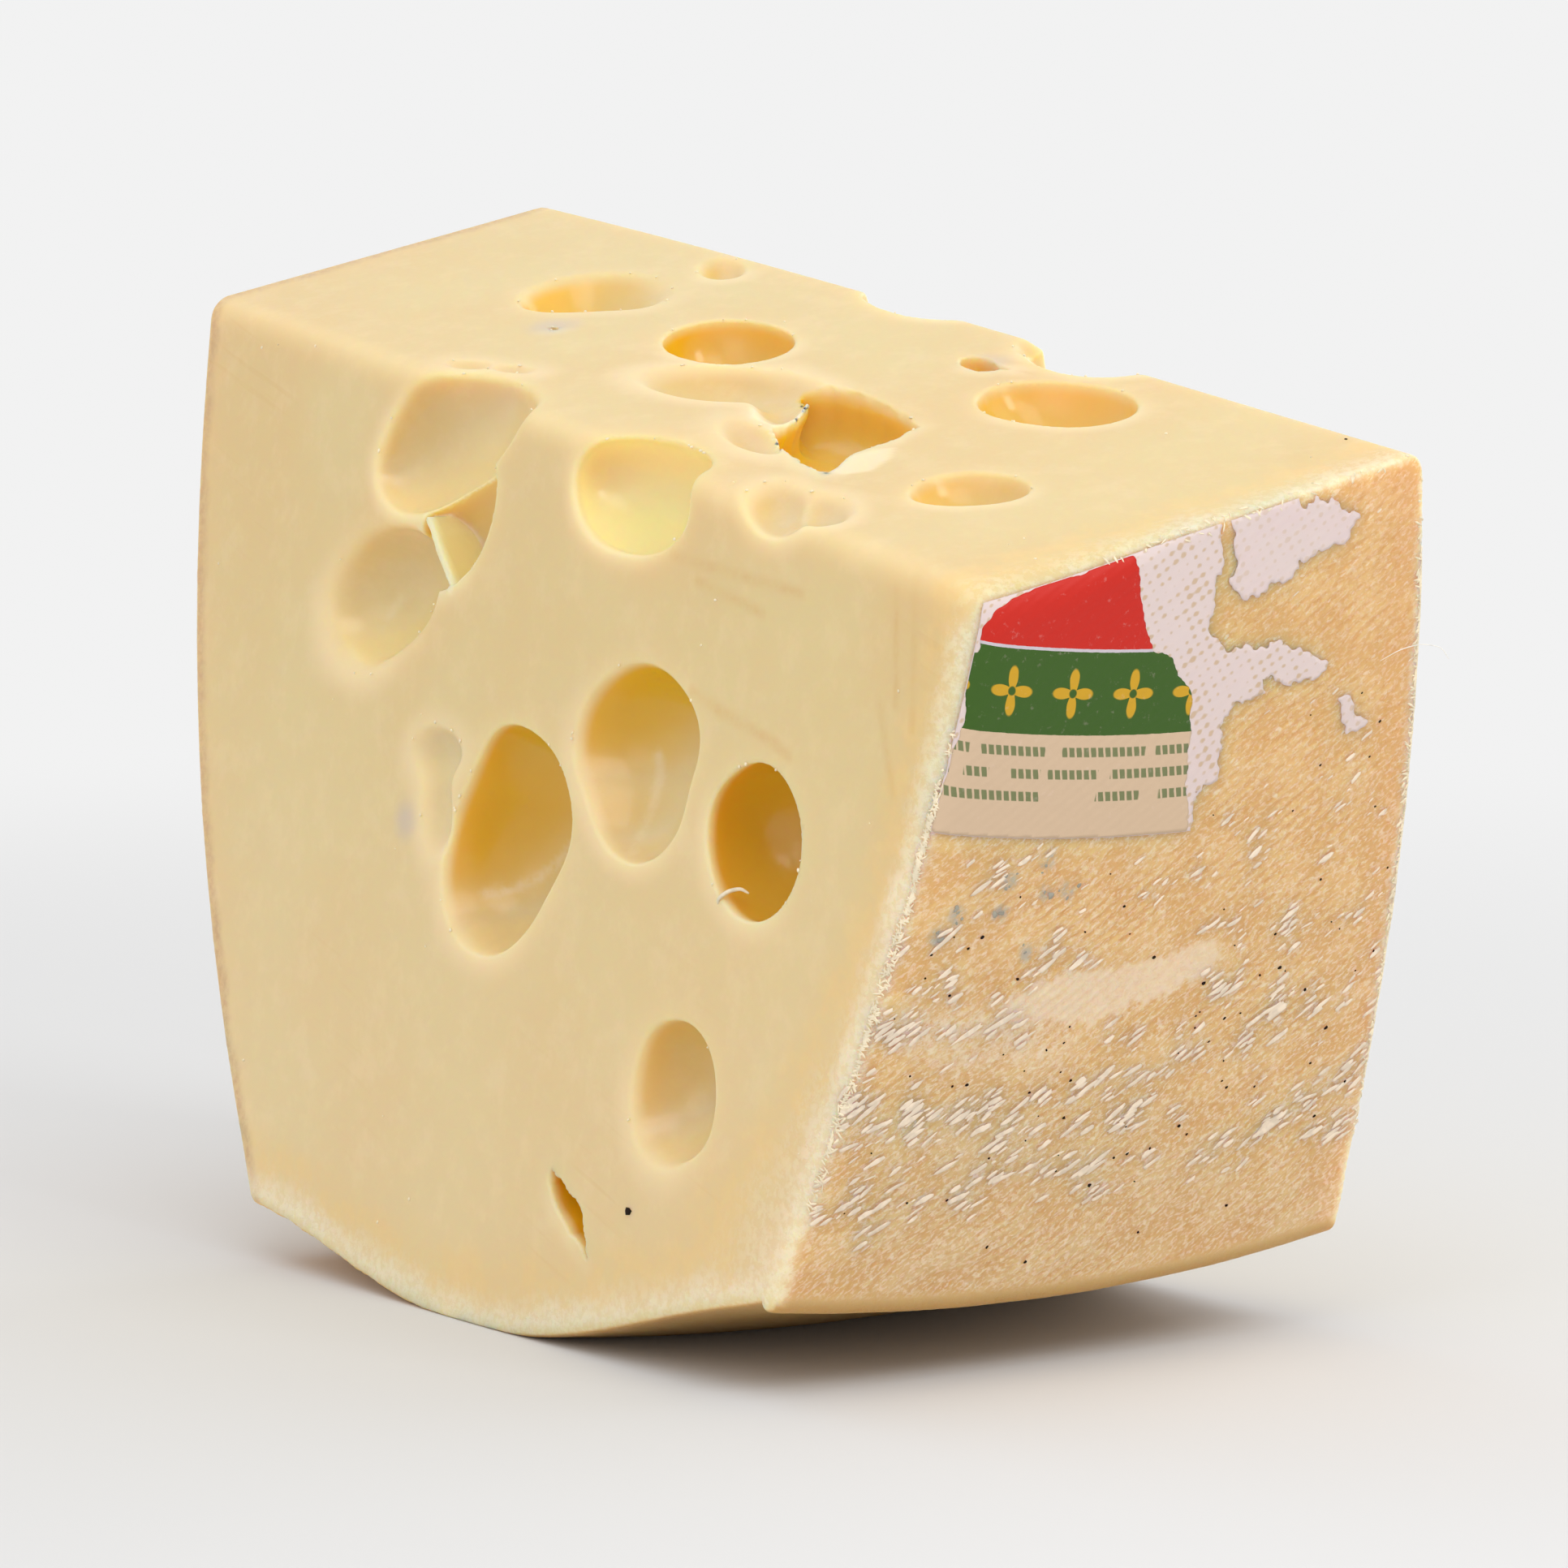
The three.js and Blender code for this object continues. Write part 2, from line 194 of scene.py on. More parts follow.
def uncut_block(points):
    """Signed distance to the block without its eyes."""
    d = distances(points)
    wheel = smooth_max(most(d, ("right", "left")), d["heel"], RIM_ROUND)
    cuts = smooth_max(smooth_max(d["front"], d["top"], CUT_ROUND), d["back"], CUT_ROUND)
    x, y, z = points.T
    worn = CREASE_ROUND + (CORNER_ROUND - CREASE_ROUND) * ramp(z, 62, 112)
    return smooth_max(wheel, cuts, RIND_ROUND + worn * ramp(x, 70, 100) * ramp(-y, 0, 30))


# --- Eyes

BEVEL_BLEND = 2.2
BEVEL_INSET = 1.6  # how much narrower the shallow copy is
BEVEL_SHARE = 0.3  # its depth as a share of the whole
EYE_WOBBLE = 0.4  # how far an eye's wall strays from an ellipsoid
WOBBLE_LENGTH = 22.0  # over about this distance
FLARE_FROM = 2.5  # depth at which the ragged eyes' walls start to spread
LEAST_RIM_GLOW = 0.15  # the least painted glow on an eye's rim


class CutFace:
    """A flat face: a point for each pair of its own coordinates, and these and a height for each point.

    Eye walls that look towards dim get the deepest painted shade, a gold, and eyes get a painted pale glow on
    the side of their rims that lies towards the last direction.
    """

    def __init__(self, point_at, flat_at, dim, glow_towards):
        self.point_at, self.flat_at, self.dim, self.glow_towards = point_at, flat_at, array(dim), array(glow_towards)
        origin = point_at(0.0, 0.0)
        self.across = unit(point_at(1.0, 0.0) - origin)
        self.outward = unit(np.cross(self.across, unit(point_at(0.0, 1.0) - origin)))
        self.along = np.cross(self.outward, self.across)


FRONT = CutFace(
    lambda x, z: array([x, FRONT_OFFSET + FRONT_SLOPE * z, z]),
    lambda at: (at[:, [0, 2]], FRONT_OFFSET + FRONT_SLOPE * at[:, 2] - at[:, 1]),
    dim=(0.55, -0.2, -0.8), glow_towards=(-0.6, 0, -0.8),
)
TOP = CutFace(
    lambda x, y: array([x, y, TOP_HEIGHT + TOP_SLOPE_X * x + TOP_SLOPE_Y * y]),
    lambda at: (at[:, :2], at[:, 2] - top_height(at[:, 0], at[:, 1])),
    dim=(0.6, 0.75, 0), glow_towards=(0.8, -0.6, 0),
)
BACK = CutFace(
    lambda x, z: array([-x, BACK_OFFSET + BACK_SLOPE * z, z]),
    lambda at: (at[:, [0, 2]] * (-1, 1), at[:, 1] - BACK_OFFSET - BACK_SLOPE * at[:, 2]),
    dim=(-0.55, 0.2, -0.8), glow_towards=(0.6, 0, -0.8),
)


class Bubble:
    """An ellipsoid with its own directions and half sizes."""

    def __init__(self, centre, directions, halves):
        self.centre, self.directions, self.halves = array(centre), array(directions), array(halves)

    def distance(self, points):
        local = (points - self.centre) @ self.directions.T / self.halves
        near = np.linalg.norm(local, axis=1)
        steep = np.linalg.norm(local / self.halves, axis=1)
        return near * (near - 1) / np.maximum(steep, 1e-6)


class Eye:
    """A hole in the cheese: one bubble, or a few that run together.

    lip is how soft the rim is, then the painted shade on its lit and its dim walls, a deep gold (below 0 a
    painted light, paler than the paste), blend how softly the bubbles meet, and the painted glow of its rim
    all round.
    """

    def __init__(self, bubbles, face, lip, gold, blend=1.0, halo=LEAST_RIM_GLOW):
        self.bubbles, self.face, self.lip, self.gold = bubbles, face, lip, gold
        self.blend, self.halo = blend, halo
        low = np.min([b.centre - max(b.halves) for b in bubbles], axis=0)
        high = np.max([b.centre + max(b.halves) for b in bubbles], axis=0)
        self.centre, self.reach = (low + high) / 2, (high - low) / 2 + 4

    def distance(self, points):
        total = self.bubbles[0].distance(points)
        for bubble in self.bubbles[1:]:
            total = -smooth_max(-total, -bubble.distance(points), self.blend)
        return total


class RaggedEye:
    """A hole with an outline for its opening, which leans and spreads below it."""

    halo = LEAST_RIM_GLOW

    def __init__(self, face, outline, deep, lean, flare, foot, lip, gold):
        self.face, self.outline, self.deep, self.lean = face, array(outline), deep, array(lean)
        self.flare, self.foot, self.lip, self.gold = flare, foot, lip, gold
        self.centre = face.point_at(*self.outline.mean(0))
        self.reach = np.full(3, np.ptp(self.outline, axis=0).max() / 2 + deep)

    def distance(self, points):
        at, height = self.face.flat_at(points)
        below = np.clip(-height, 0, self.deep)
        wall = from_outline(at - below[:, None] * self.lean, self.outline)
        wall = wall - self.flare * np.maximum(below - FLARE_FROM, 0)
        ragged = 0.25 * ripple(points, 2.6, 91) * ramp(below, 2.0, 0.3)
        return smooth_max(wall + ragged, -height - self.deep, self.foot)


def bubble_in(face, x, y, width, height, deep, turn):
    """A bubble from the middle of its opening, its widths there, its depth and the first one's turn."""
    angle = math.radians(turn)
    first = face.across * math.cos(angle) + face.along * math.sin(angle)
    second = np.cross(face.outward, first)
    opening = (width + height) / 4
    radius = (opening**2 + deep**2) / (2 * deep)
    swell = radius / opening
    centre = face.point_at(x, y) + face.outward * (radius - deep)
    return Bubble(centre, (first, second, face.outward), (width / 2 * swell, height / 2 * swell, radius))


def eye(face, *bubbles, blend=1.0, bevel=None, **looks):
    """An eye of one or more bubbles; a shallow copy moved by bevel slopes that side of its opening."""
    made = [bubble_in(face, *bubble) for bubble in bubbles]
    if bevel:
        x, y, width, height, deep, turn = bubbles[0]
        width, height = width - BEVEL_INSET, height - BEVEL_INSET
        made.append(bubble_in(face, x + bevel[0], y + bevel[1], width, height, deep * BEVEL_SHARE, turn))
        blend = max(blend, BEVEL_BLEND)
    return Eye(made, face, blend=blend, **looks)


def edge_eye(centre, halves, turn, **looks):
    """An eye that an edge cuts open, with its half sizes and its turn about the Y direction."""
    angle = math.radians(turn)
    first, second = array([math.cos(angle), 0, math.sin(angle)]), array([0, 1, 0])
    bubble = Bubble(centre, (first, second, np.cross(first, second)), halves)
    return Eye([bubble], FRONT if centre[1] < 0 else BACK, **looks)


# The eyes of the front, the top and the back, those at an edge, a ragged one and a narrow slit.
EYES = [
    eye(FRONT, (-47.2, 107.4, 35, 21.8, 11, 16), lip=1.6, gold=(-0.55, -0.1), bevel=(-1.8, -1.4)),
    eye(FRONT, (32, 86.2, 33, 23.6, 11.5, 1), (33.2, 76.6, 17.5, 25, 8, 94),
        lip=0.5, gold=(-0.1, 1), blend=4, bevel=(-1.4, -0.9)),
    eye(FRONT, (-5, 67.8, 36.2, 28.6, 16, 40), (0.4, 75.4, 22.1, 29.8, 12, 59),
        lip=0.4, gold=(-0.2, 0.95), blend=4, bevel=(-1.4, -1.2)),
    eye(FRONT, (65.4, 73, 24.6, 22.8, 17, 169), lip=0.4, gold=(0.85, 0.95), bevel=(-0.8, -0.8)),
    eye(FRONT, (48.4, 33.9, 22, 22.6, 10, 127), lip=0.6, gold=(-0.3, 0.5), bevel=(-1.3, -1.4)),
    eye(FRONT, (-27.3, 81.9, 16.8, 8.6, 2.6, 0), (-26.8, 74.6, 19, 9.6, 2.6, 100),
        lip=0.7, gold=(-0.2, 0), blend=2.5, halo=0.7),
    eye(TOP, (-55.4, 4, 19, 20, 8, 14), (-53, 7.2, 27.2, 19.1, 3.6, 14), lip=0.9, gold=(0.3, 1), blend=4),
    eye(TOP, (-10.7, 4, 28.1, 19.3, 11.5, 172), lip=0.4, gold=(0.6, 1)),
    eye(TOP, (8.5, -8.6, 36.4, 16.8, 4.4, 20), (20.4, -7.9, 29.7, 8.8, 3.4, 145),
        lip=0.6, gold=(0.1, 0.5), blend=1.5, halo=0.9),
    eye(TOP, (32.2, -21.6, 23, 7.6, 2.6, 167), lip=0.5, gold=(0.1, 0.6), halo=0.6),
    eye(TOP, (33.3, 22.6, 9.2, 4.7, 5, 168), (36.8, 23.4, 6, 1.5, 2, 10), lip=0.35, gold=(1, 1), blend=0.8),
    eye(TOP, (59, 18.3, 29.9, 19.9, 9.5, 12), lip=0.5, gold=(0.6, 0.85)),
    eye(TOP, (80.3, -14.8, 15.4, 19, 6.5, 120), lip=0.6, gold=(0.3, 0.8)),
    eye(TOP, (62.8, -38, 23.6, 12, 4.4, 147), (68.8, -34.6, 16.5, 10.3, 3.2, 161),
        lip=1.2, gold=(0.05, 0.35), blend=1, halo=0.7),
    eye(TOP, (-46.6, 27.6, 7.8, 13.3, 2.2, 67), lip=0.6, gold=(0.2, 0.8)),
    eye(TOP, (-36.9, -29.6, 9, 4.2, 1.1, 25), lip=0.5, gold=(0.1, 0.4), halo=0.6),
    eye(TOP, (-28.6, -26.6, 9.6, 3.4, 1, 18), lip=0.5, gold=(0.1, 0.4), halo=0.6),
    eye(TOP, (33.5, 34.5, 13.5, 8.5, 2.6, 155), lip=0.6, gold=(0.2, 0.6)),
    eye(TOP, (-41.6, -10, 1.6, 1.2, 2, 0), lip=0.3, gold=(0.6, 0.6)),
    eye(BACK, (-62, 94, 24, 22, 11, 10), lip=0.5, gold=(0.2, 0.9), bevel=(1.2, -1.2)),
    eye(BACK, (-26, 98, 30, 27, 13, 20), lip=0.5, gold=(0.3, 1), bevel=(1.3, -1.3)),
    eye(BACK, (20, 66, 35, 32, 15, 0), lip=0.5, gold=(0.2, 1), bevel=(1.2, -1.4)),
    eye(BACK, (62, 100, 27, 23, 12, -15), lip=0.5, gold=(0.2, 0.9), bevel=(1.2, -1.2)),
    eye(BACK, (-66, 52, 19, 22, 8, 0), lip=0.8, gold=(0.1, 0.7), bevel=(1.1, -1.1)),
    eye(BACK, (-24, 46, 23, 25, 10, 30), lip=0.6, gold=(0.1, 0.8), bevel=(1.2, -1.2)),
    eye(BACK, (62, 44, 21, 18, 9, 0), lip=0.7, gold=(0.1, 0.8), bevel=(1.1, -1.1)),
    eye(BACK, (16, 20, 16, 14, 6, 40), lip=0.8, gold=(0.1, 0.5), bevel=(0.8, -0.9)),
    edge_eye((-29.6, -38.8, 134.2), (23.5, 10.3, 11.4), 20, lip=1.6, gold=(-0.55, 0.1)),
    edge_eye((-25.6, -38.9, 119.2), (9.2, 8, 13.6), -42, lip=0.4, gold=(-0.3, 0.5)),
    edge_eye((25.2, -35.8, 123.9), (17.2, 9.9, 9.2), -7, lip=1.6, gold=(-1, -0.7)),
    edge_eye((-2, 37, 151), (14.5, 6.5, 9), 0, lip=0.6, gold=(0.2, 0.6)),
    edge_eye((44.5, 38, 142), (14, 10, 10), 0, lip=0.6, gold=(0.2, 0.7)),
    RaggedEye(
        TOP,
        [
            (17.6, -0.9), (21.9, -4.1), (25.1, -5.6), (29.0, -9.8), (31.9, -14.2), (31.6, -16.6),
            (35.2, -18.3), (38.0, -20.0), (43.2, -22.8), (49.7, -24.5), (57.5, -24.3), (54.7, -20.7),
            (52.6, -17.0), (52.1, -12.8), (52.2, -8.1), (50.6, -1.9), (45.6, -0.4), (36.1, 1.7),
            (28.9, 2.2), (22.5, 1.3),
        ],
        deep=9.5, lean=(0.05, -0.22), flare=0.3, foot=6, lip=0.3, gold=(0.65, 1),
    ),
    RaggedEye(
        FRONT,
        [
            (15.2, 19.6), (16.6, 18.0), (18.2, 17.6), (20.8, 15.8), (22.6, 14.9), (24.6, 13.7),
            (25.6, 11.7), (25.9, 9.7), (27.2, 6.4), (25.2, 8.3), (23.6, 9.3), (21.6, 9.9), (19.8, 11.6),
            (17.6, 12.9), (16.3, 14.1), (15.1, 16.5),
        ],
        deep=6, lean=(0, 0), flare=-0.2, foot=2, lip=0.25, gold=(1, 1),
    ),
]

# A thin wall left between two eyes, and its half thickness.
WALL_FROM, WALL_TO = (-34.9, 119.3), (-26.0, 108.6)
WALL_HALF, WALL_SUNK, WALL_DEEP = 0.6, 0.2, 14.0

# Places with a faint grey halo and its reach, and painted sheens, glossy reflections drawn as whitish
# streaks, on the walls of some eyes.
BRUISES = [(-43, -9.3, 150.1, 6.5), (33.4, 23.4, 142.6, 6.5), (-35.2, -46.1, 70.7, 5), (30.5, -46, 140, 3)]
SHEENS = [
    [(-19.4, -40.8, 59.3), (-16.7, -36.2, 60.2), (-12.3, -32.7, 62.8), (-8.5, -31.5, 66.5)],
    [(24.1, -35.4, 83.3), (25.5, -36.2, 79.7), (26.9, -39.2, 74.9), (27.4, -41.5, 71.3), (29.1, -43.9, 69.0)],
    [(-58.1, -36.0, 101.1), (-57.4, -34.5, 103.3), (-56.0, -33.3, 105.6)],
]

# Faint brown strokes of the knife on the front, and thin pale skins beside the ragged eye.
STROKES = [
    [(38.2, 115.1), (54.5, 112.7), (73.7, 110.0)], [(45.8, 111.3), (63.9, 106.9)],
    [(46.1, 94.6), (57.1, 91.1), (69.5, 87.8)], [(53.4, 91.9), (63.8, 89.4), (73.2, 86.0)],
    [(97.6, 111.5), (99.5, 94.7)], [(102.2, 113.5), (103.9, 91.2)], [(95.5, 94.6), (100.2, 81.6)],
]
FILMS = [
    [(57.4, -23.7), (53.2, -18.5), (54.2, -13.1), (55.6, -11.0), (58.9, -14.0), (61.4, -19.5), (59.4, -23.0)],
    [(21.2, -13.6), (25.2, -16.4), (31.7, -16.6), (29.4, -10.2), (25.1, -5.6), (22.6, -8.0), (24.6, -11.0)],
]


def from_path(at, path):
    """Distance to an open line of straight pieces."""
    corners = array(path)
    nearest = np.full(len(at), 99.0)
    for a, b in zip(corners[:-1], corners[1:]):
        t = np.clip((at - a) @ (b - a) / ((b - a) @ (b - a)), 0, 1)
        nearest = np.minimum(nearest, lengths(at - a - t[:, None] * (b - a)))
    return nearest


def from_outline(at, outline):
    """Distance from a closed outline in the plane, negative inside."""
    corners = array(outline)
    least = np.full(len(at), np.inf)
    inside = np.zeros(len(at), bool)
    for a, b in zip(corners, np.roll(corners, -1, 0)):
        side, off = b - a, at - a
        t = np.clip(off @ side / (side @ side), 0, 1)
        least = np.minimum(least, np.sum((off - t[:, None] * side) ** 2, axis=1))
        crosses = (a[1] > at[:, 1]) != (b[1] > at[:, 1])
        if a[1] != b[1]:
            inside ^= crosses & (at[:, 0] < a[0] + (at[:, 1] - a[1]) * side[0] / side[1])
    return np.sqrt(least) * np.where(inside, -1, 1)


def least_of(distance, at, shapes):
    return np.min([distance(at, shape) for shape in shapes], axis=0)


def strayed(points):
    """Points moved a little, so that what is measured there comes out less regular."""
    waves = [ripple(points, WOBBLE_LENGTH, 10 + axis) for axis in range(3)]
    return points + EYE_WOBBLE * np.stack(waves, 1)


def block(points):
    """Signed distance to the block with its eyes cut out."""
    body = uncut_block(points)
    moved = strayed(points)
    order = np.argsort(moved[:, 0])
    across = moved[order, 0]
    for eye in EYES:
        low, high = eye.centre - eye.reach, eye.centre + eye.reach
        first, last = np.searchsorted(across, (low[0], high[0]))
        some = order[first:last]
        near = some[np.all(np.abs(moved[some, 1:] - eye.centre[1:]) < eye.reach[1:], axis=1)]
        if len(near):
            body[near] = smooth_max(body[near], -eye.distance(moved[near]), eye.lip)
    at, height = FRONT.flat_at(points)
    wall = np.maximum(from_path(at, (WALL_FROM, WALL_TO)) - WALL_HALF, height + WALL_SUNK)
    body = -smooth_max(-body, -np.maximum(wall, -WALL_DEEP - height), 0.4)
    return smooth_max(body, REST_LEVEL - (points @ TURN.T)[:, 2], 0.5)


def eye_values(points, outward, skin):
    """The painted shade of each point in an eye, a gold on walls that face from the light, and below 0 a
    painted light, paler, on lit walls; and how much painted glow lies on an eye's rim.
    """
    moved = strayed(points)
    gold, rim = np.zeros(len(points)), np.zeros(len(points))
    for eye in EYES:
        near = np.nonzero(np.all(np.abs(moved - eye.centre) < eye.reach + 3, axis=1))[0]
        away = np.abs(eye.distance(moved[near]))
        lit, dim = eye.gold
        # Painted shade: walls that face dim get the dim amount of gold, the others the lit amount.
        shade = lit + (dim - lit) * ramp(outward[near] @ eye.face.dim, -0.45, 0.75)
        shade = shade * ramp(away, 1.2, 0.3)
        gold[near] = np.where(np.abs(shade) > np.abs(gold[near]), shade, gold[near])
        # Painted glow on the rim, strongest on the side towards the face's last direction.
        side = points[near] - eye.centre
        side = side @ eye.face.glow_towards / np.maximum(lengths(side), 1e-6)
        pale = ramp(away, 4.2, 0.3) * ramp(-skin[near], 2.4, 0.2)
        rim[near] = np.maximum(rim[near], pale * (eye.halo + (1 - eye.halo) * ramp(side, -0.2, 0.7)))
    return gold, rim


def stains_and_sheens(points):
    """How much of each mark is at each point: grey halos, painted sheens (whitish streaks of reflection),
    brown strokes, pale skins.
    """
    bruise = [ramp(lengths(points - place[:3]), place[3], 0.5) for place in array(BRUISES)]
    at, height = FRONT.flat_at(points)
    wall = ramp(from_path(at, (WALL_FROM, WALL_TO)), 1.3, 0.7) * ramp(-height, 1.8, 0.7)
    stroke = ramp(least_of(from_path, at, STROKES), 1.5, 0.0) * ramp(-height, 1.5, 0.5)
    at, height = TOP.flat_at(points)
    skin = ramp(least_of(from_outline, at, FILMS), 0.9, -0.5) * ramp(-height, 3.0, 1.5)
    return {
        "bruise": np.max(bruise, axis=0),
        "sheen": ramp(least_of(from_path, points, SHEENS), 1.5, 0.3),
        "stroke": stroke,
        "film": np.maximum(skin, wall),
    }


# --- A closed mesh from a field


def window(corner, size):
    return tuple(slice(start, start + count) for start, count in zip(corner, size))


def surface_net(field, low, high, step, coarse=4):
    """Vertices and quads of the surface field = 0, from a grid that is fine only near it."""
    counts = np.ceil((high - low) / (step * coarse)).astype(int)
    corners = list(np.ndindex(2, 2, 2))
    wide = np.argwhere(np.ones(counts + 1, bool))
    values = field(wide * step * coarse + low).reshape(counts + 1)
    near = np.zeros(counts, bool)
    for corner in corners:
        near |= np.abs(values[window(corner, counts)]) < step * coarse * 1.9
    fine = values[:-1, :-1, :-1].astype(np.float32)
    for axis in range(3):
        fine = np.repeat(fine, coarse, axis)
    cells = np.argwhere(near)[:, None] * coarse + np.argwhere(np.ones([coarse] * 3, bool))
    cells = cells.reshape(-1, 3)
    fine[tuple(cells.T)] = field(cells * step + low)

    inside = fine < 0
    shape = np.array(fine.shape) - 1
    count = sum(inside[window(corner, shape)].astype(np.uint8) for corner in corners)
    mixed = (count > 0) & (count < 8)
    where = np.argwhere(mixed)
    number = np.full(shape, -1, np.int32)
    number[mixed] = np.arange(len(where))
    total, hits = np.zeros((len(where), 3)), np.zeros(len(where))
    for a in corners:
        for axis in (n for n in range(3) if not a[n]):
            b = np.array(a) + np.eye(3, dtype=int)[axis]
            va, vb = (fine[tuple((where + end).T)].astype(float) for end in (a, b))
            crosses = (va < 0) != (vb < 0)
            point = where + array(a)
            point[:, axis] += np.where(crosses, va / np.where(crosses, va - vb, 1), 0)
            total[crosses] += point[crosses]
            hits[crosses] += 1

    quads = []
    for axis in range(3):
        across = [(axis + 1) % 3, (axis + 2) % 3]
        lower, upper = np.delete(inside, -1, axis), np.delete(inside, 0, axis)
        edges = np.argwhere(lower != upper)
        kept = (edges[:, across] > 0) & (edges[:, across] < shape[across])
        edges = edges[kept.all(axis=1)]
        ring = []
        for shift in ((-1, -1), (0, -1), (0, 0), (-1, 0)):
            cell = edges.copy()
            cell[:, across] += shift
            ring.append(number[tuple(cell.T)])
        quad = np.stack(ring, 1)
        inward = ~lower[tuple(edges.T)]
        quad[inward] = quad[inward][:, ::-1]
        quads.append(quad)
    return total / hits[:, None] * step + low, np.concatenate(quads)


def onto_surface(field, points, rounds, limit, gap=0.05):
    """Points moved onto field = 0, with the outward direction at each."""
    for _ in range(rounds):
        slope, here = np.zeros_like(points), np.zeros(len(points))
        for corner in array([(1, 1, 1), (1, -1, -1), (-1, 1, -1), (-1, -1, 1)]):
            value = field(points + corner * gap)
            slope += value[:, None] * corner
            here += value / 4
        slope = slope / (4 * gap)
        step = -(here / np.maximum(np.sum(slope * slope, axis=1), 0.05))[:, None] * slope
        points = points + step * np.minimum(1, limit / np.maximum(lengths(step), 1e-9))[:, None]
    return points, slope / np.maximum(lengths(slope), 1e-9)[:, None]


def shown(name, data):
    thing = bpy.data.objects.new(name, data)
    bpy.context.scene.collection.objects.link(thing)
    return thing


def mesh_object(name, vertices, faces, smooth=True):
    mesh = bpy.data.meshes.new(name)
    mesh.from_pydata(vertices.tolist(), [], faces)
    mesh.polygons.foreach_set("use_smooth", [smooth] * len(mesh.polygons))
    mesh.update()
    return shown(name, mesh)


def keep(mesh, **values):
    """Values at the mesh's points that its material reads by name."""
    for name, value in values.items():
        made = mesh.attributes.new(name, "FLOAT", "POINT")
        made.data.foreach_set("value", value.astype(np.float32))


# --- Outlines on the labelled face, in its own coordinates: Y and Z of the wheel's frame

LABEL_SIDE, LABEL_FOOT = 60, 60  # the label lies past these X and Z
LABEL_INNER_DEPTH = 73.2  # the label's printed lower edge is an arc round the wheel
GREEN_DEPTH, RED_DEPTH = 88.5, 100.8  # where the printed bands begin
PAPER = [
    (-46.0, 60), (2.6, 60), (2.6, 74), (3.5, 80.8), (7.1, 80.7), (5.5, 88.5), (7.7, 92.4), (13.5, 93.1),
    (11.9, 95.5), (19.7, 94), (25.7, 97), (13.7, 100.5), (5, 100.5), (0.9, 103.1), (1.4, 112),
    (0.8, 128), (-60, 128), (-60, 112), (-43.5, 108.5), (-42.6, 100), (-43.0, 92), (-44.6, 83),
]
PRINT = [
    (-45.0, 60), (2.6, 60), (2.6, 74), (1.0, 78.2), (0.3, 82.5), (-0.1, 88), (-1.2, 94.7), (-3.9, 97.3),
    (-5.9, 99.9), (-9.3, 100.9), (-12.1, 106.2), (-13.2, 111), (-14.4, 115.5), (-19, 116.6),
    (-22.5, 113.6), (-26.6, 113.4), (-30.2, 112.4), (-34.3, 110.7), (-37.2, 109.0), (-39.6, 107.0),
    (-40.4, 104.8), (-40.7, 102.6), (-42.4, 102.2), (-42.0, 97), (-41.4, 92), (-42.9, 88), (-43.6, 83),
    (-44.6, 77.4),
]
SCRAP = [
    (2.9, 119.6), (4.6, 113.6), (4.2, 109.6), (6.3, 107.2), (11.2, 109.3), (14.7, 109.9), (17.4, 112.9),
    (21.8, 114.2), (26.0, 116.3), (27.9, 119.2), (24.4, 119.4), (21.4, 121.9), (17.2, 120.6), (14.5, 123),
    (12, 128), (3, 128),
]
REMNANT = [(28.1, 91.3), (30.2, 91.7), (31.8, 89.5), (34.8, 87.6), (33.6, 86.6), (30.8, 86.2), (29.5, 88)]
SMEAR = [
    (-25.6, 48.6), (-21.5, 52), (-14.4, 52.8), (-5, 53.0), (5.2, 54.6), (11.5, 55.5), (14.6, 53.0),
    (12.0, 50.8), (8.8, 49.2), (5.0, 47.8), (-0.5, 47.4), (-3.8, 45.6), (-8.1, 44.8), (-13.5, 44.9),
    (-18.4, 45.7), (-23.2, 47.2),
]
MOTTLE = [
    (-44, 50.1), (-34, 49.7), (-21.8, 47.3), (-13.9, 45.3), (-9.3, 39.8), (-13.2, 37.7), (-22.7, 39.9),
    (-31.4, 39.5), (-42.3, 43.1),
]


def torn(at, seed):
    """How far a torn edge strays, in millimetres."""
    flat = np.insert(at, 2, 0, axis=1)
    return 0.55 * ripple(flat, 3.6, seed) + 0.4 * ripple(flat, 1.4, seed + 1)


def on_right(at):
    """Points of the smooth labelled face, with their depths."""
    flat = np.insert(at, 0, 0, axis=1)
    depth = depth_of(flat)
    flat[:, 0] = np.interp(depth, DEPTHS, RIGHT_HALF)
    return flat, depth


def sheet_edge(outline, seed, inset=None, tear=1.0, arc=None):
    """The distance past the edge of a sheet on the labelled face, as a function of the place there.

    The sheet has a torn outline, and stops short of the cuts by inset and short of the depth arc.
    """
    def edge(at):
        past = from_outline(at, outline) + tear * torn(at, seed)
        if arc:
            past = np.maximum(past, arc - depth_of(np.insert(at, 0, 0, axis=1)))
        if inset:
            past = np.maximum(past, most(distances(on_right(at)[0]), CUTS) + inset)
        return past
    return edge


PAPER_EDGE = sheet_edge(PAPER, 61, inset=0.6, arc=LABEL_INNER_DEPTH)
PRINT_EDGE = sheet_edge(PRINT, 63, inset=0.9, tear=0.4, arc=LABEL_INNER_DEPTH + 0.1)
SCRAP_EDGE = sheet_edge(SCRAP, 65, inset=0.6)
REMNANT_EDGE = sheet_edge(REMNANT, 67)


def from_label(at):
    return np.min([edge(at) for edge in (PAPER_EDGE, SCRAP_EDGE, REMNANT_EDGE)], axis=0)


def under_paper(points):
    """1 where paper lies on the rind, fading out beside it."""
    covered = np.zeros(len(points))
    near = (points[:, 0] > LABEL_SIDE) & (points[:, 2] > LABEL_FOOT)
    covered[near] = ramp(from_label(points[near, 1:]), 1.4, 0.3)
    return covered


# --- The rind's cloth marks

